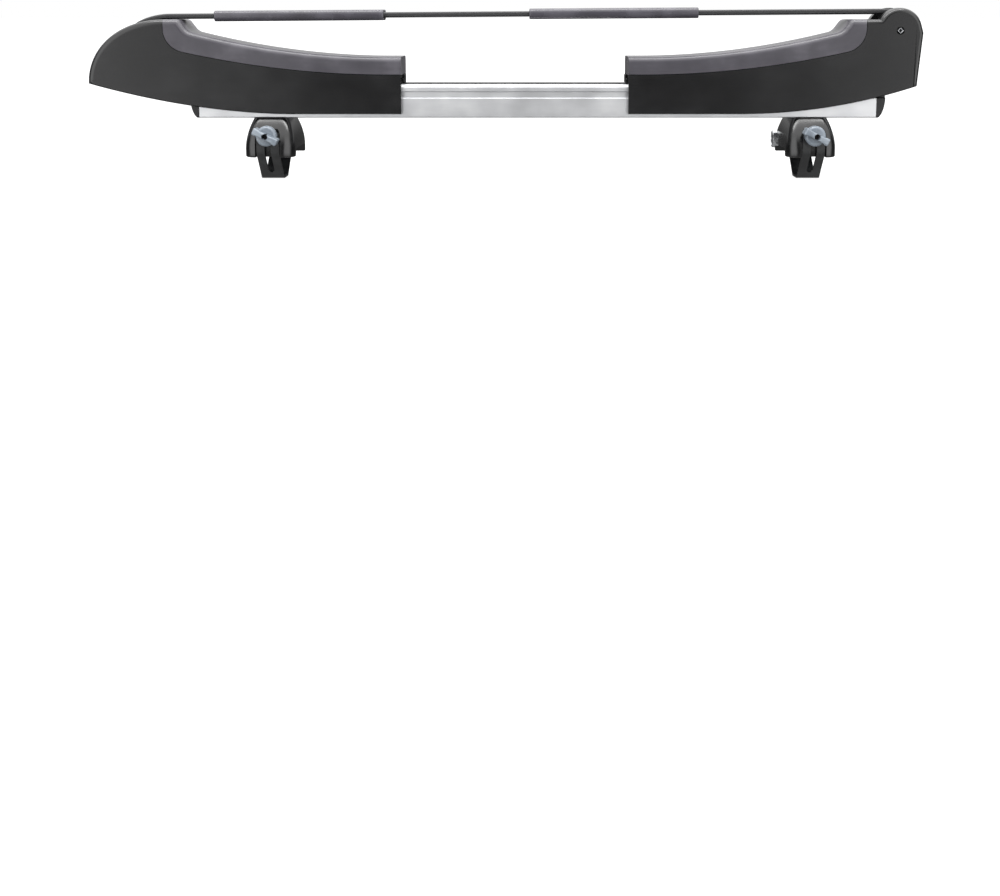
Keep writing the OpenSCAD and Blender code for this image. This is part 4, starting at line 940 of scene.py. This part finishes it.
def knobWing(place, turn):
    # a bar that widens towards its two ends; towards its front it shrinks along a quarter circle
    long, waist, end = (knob[name] / 2 for name in ("wing", "wingWidth", "wingEnd"))
    fall, inset = quarter(knob["wingEdge"], 8)
    reach, inset = np.append(-knob["wingRoot"], knob["wingHeight"] - fall), np.append(0, inset)
    c, s = ray(turn)
    corners = [(-long, -end + 1), (-long + 1.5, -end), (-long / 2, -waist), (long / 2, -waist),
               (long - 1.5, -end), (long, -end + 1)]
    corners += [(-x, -z) for x, z in corners]
    outline = filleted(corners, [1.2, 1.2, 5, 5, 1.2, 1.2] * 2, 5)
    rows = []
    for y, d in zip(reach, inset):
        x, z = (outline * ((long - d) / long, (waist - 0.75 * d) / waist)).T
        rows.append(place(boltAt[0] + x * c - z * s, boltAt[1] + x * s + z * c, knobFront - y))
    return capped(rows)


for side, turn in (("left", knob["turn"]), ("right", -knob["turn"])):
    place = footPlace(side, band)
    hole = rod(place, boltAt, knob["hole"], -70, knob["back"] - knob["holeDeep"], 40)
    steps = [("UNION", [knobWing(place, turn)])] + cuts(hole)
    makePiece(side + "WingKnob", knobHub(place), steps, knobNylon,
              side + "_knob", side + "_wing_knob")
print("knobs made")


# ---- finishes of the pieces that stay as the solids have them

finishes = {
    housingPlastic: "latch_rack",
    platedSteel: "left_release_pin right_release_pin strap_tongue roller_nut cam_lever cam_pin "
                 "left_foot_bolts right_foot_bolts left_hinge_pin right_hinge_pin",
    blackSteelAndPaintedShade: "left_clamp_bolt right_clamp_bolt",
    springSteel: "left_release_spring right_release_spring",
}
for material, names in finishes.items():
    for name in names.split():
        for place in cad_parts[name].material_slots:
            place.material = material


# ---- floor and light

far, floorZ = 30000, -33
corners = [(-far, -far, floorZ), (far, -far, floorZ), (far, far, floorZ), (-far, far, floorZ)]
floor = newObject("floor", [(np.array(corners), [[0, 1, 2, 3]])])
# a white acrylic table, lit from below: the shadow on it stays faint, and the part doesn't mirror it
table, tree, shader, place = newMaterial("white acrylic, matt", {
    "Roughness": 1.0, "Specular IOR Level": 0.0, "Emission Color": (1, 1, 1, 1), "Emission Strength": 0.9})
haze = addNode(tree, "TexNoise", {"Scale": 2.5}, {"Vector": place})
colour = addNode(tree, "ValToRGB", {"stops": [(0.3, "#7c7c7c"), (0.7, "#808080")]}, {"Fac": haze})
tree.links.new(colour.outputs["Color"], shader.inputs["Base Color"])
back = addNode(tree, "NewGeometry").outputs["Backfacing"]        # seen from below it isn't there
clear = addNode(tree, "BsdfTransparent")
oneSided = addNode(tree, "MixShader", links={0: back, 1: shader, 2: clear})
output = next(node for node in tree.nodes if node.type == "OUTPUT_MATERIAL")
tree.links.new(oneSided.outputs[0], output.inputs["Surface"])
floor.data.materials.append(table)
floor.visible_diffuse = floor.visible_glossy = False

# the camera sees white. What lights the part is a dim room with a long ceiling of light and, in front, a tall
# wall of light on either side, so that flat dark faces shade from pale at its ends to dark in its middle.
# Each light is its strength times a smooth share for each of its limits.
room = {"dim": 0.08, "below": 0.35, "ceiling": 2.4, "walls": 2.6, "behind": 0.8}
studio = bpy.data.worlds.new("studio")
scene.world = studio
studio.use_nodes = True
tree = studio.node_tree
tree.nodes.clear()
way = addNode(tree, "TexCoord").outputs["Generated"]
sideways, away, up = addNode(tree, "SeparateXYZ", links={0: way}).outputs
aside = addNode(tree, "Math", {"operation": "ABSOLUTE"}, {0: sideways})
total = addNode(tree, "Math", {0: room["dim"], 1: 0.0})
for strength, limits in (
        (room["ceiling"], [(up, 0.3, 0.8)]),
        (room["below"], [(up, -0.1, -0.6)]),
        (room["behind"], [(away, 0.2, 0.8), (up, -0.02, 0.25)]),
        (room["walls"], [(aside, 0.1, 0.4), (away, 0.0, -0.5), (up, 0.75, 0.35), (up, -0.6, -0.2)])):
    product = addNode(tree, "Math", {0: strength, 1: 0.0})
    for value, start, end in limits:
        limit = {"From Min": start, "From Max": end, "interpolation_type": "SMOOTHSTEP"}
        share = addNode(tree, "MapRange", limit, {"Value": value})
        product = addNode(tree, "Math", {"operation": "MULTIPLY"}, {0: product, 1: share})
    total = addNode(tree, "Math", {"operation": "ADD"}, {0: total, 1: product})
seen = addNode(tree, "Background", {"Color": (1, 1, 1, 1), "Strength": 1.0})
lit = addNode(tree, "Background", {"Color": (1, 1, 1, 1)}, {"Strength": total})
direct = addNode(tree, "LightPath").outputs["Is Camera Ray"]
both = addNode(tree, "MixShader", links={0: direct, 1: lit, 2: seen})
addNode(tree, "OutputWorld", links={"Surface": both})
scene.view_settings.view_transform = "Standard"        # so that white stays white

# a long softbox above and a little in front
overhead = {"place": (0, -120, 1400), "aim": (0, 0, 60), "size": (1.8, 0.35), "power": 20}
lampData = bpy.data.lights.new("overhead", "AREA")
lampData.shape, lampData.energy = "RECTANGLE", overhead["power"]
lampData.size, lampData.size_y = overhead["size"]
lamp = addObject("overhead", lampData)
lamp.location = [v * mm for v in overhead["place"]]
aim = np.subtract(overhead["aim"], overhead["place"])
lamp.rotation_euler = (math.acos(-aim[2] / np.linalg.norm(aim)), 0, math.atan2(aim[1], aim[0]) - math.pi / 2)
lamp.visible_camera = False
print("lights made")
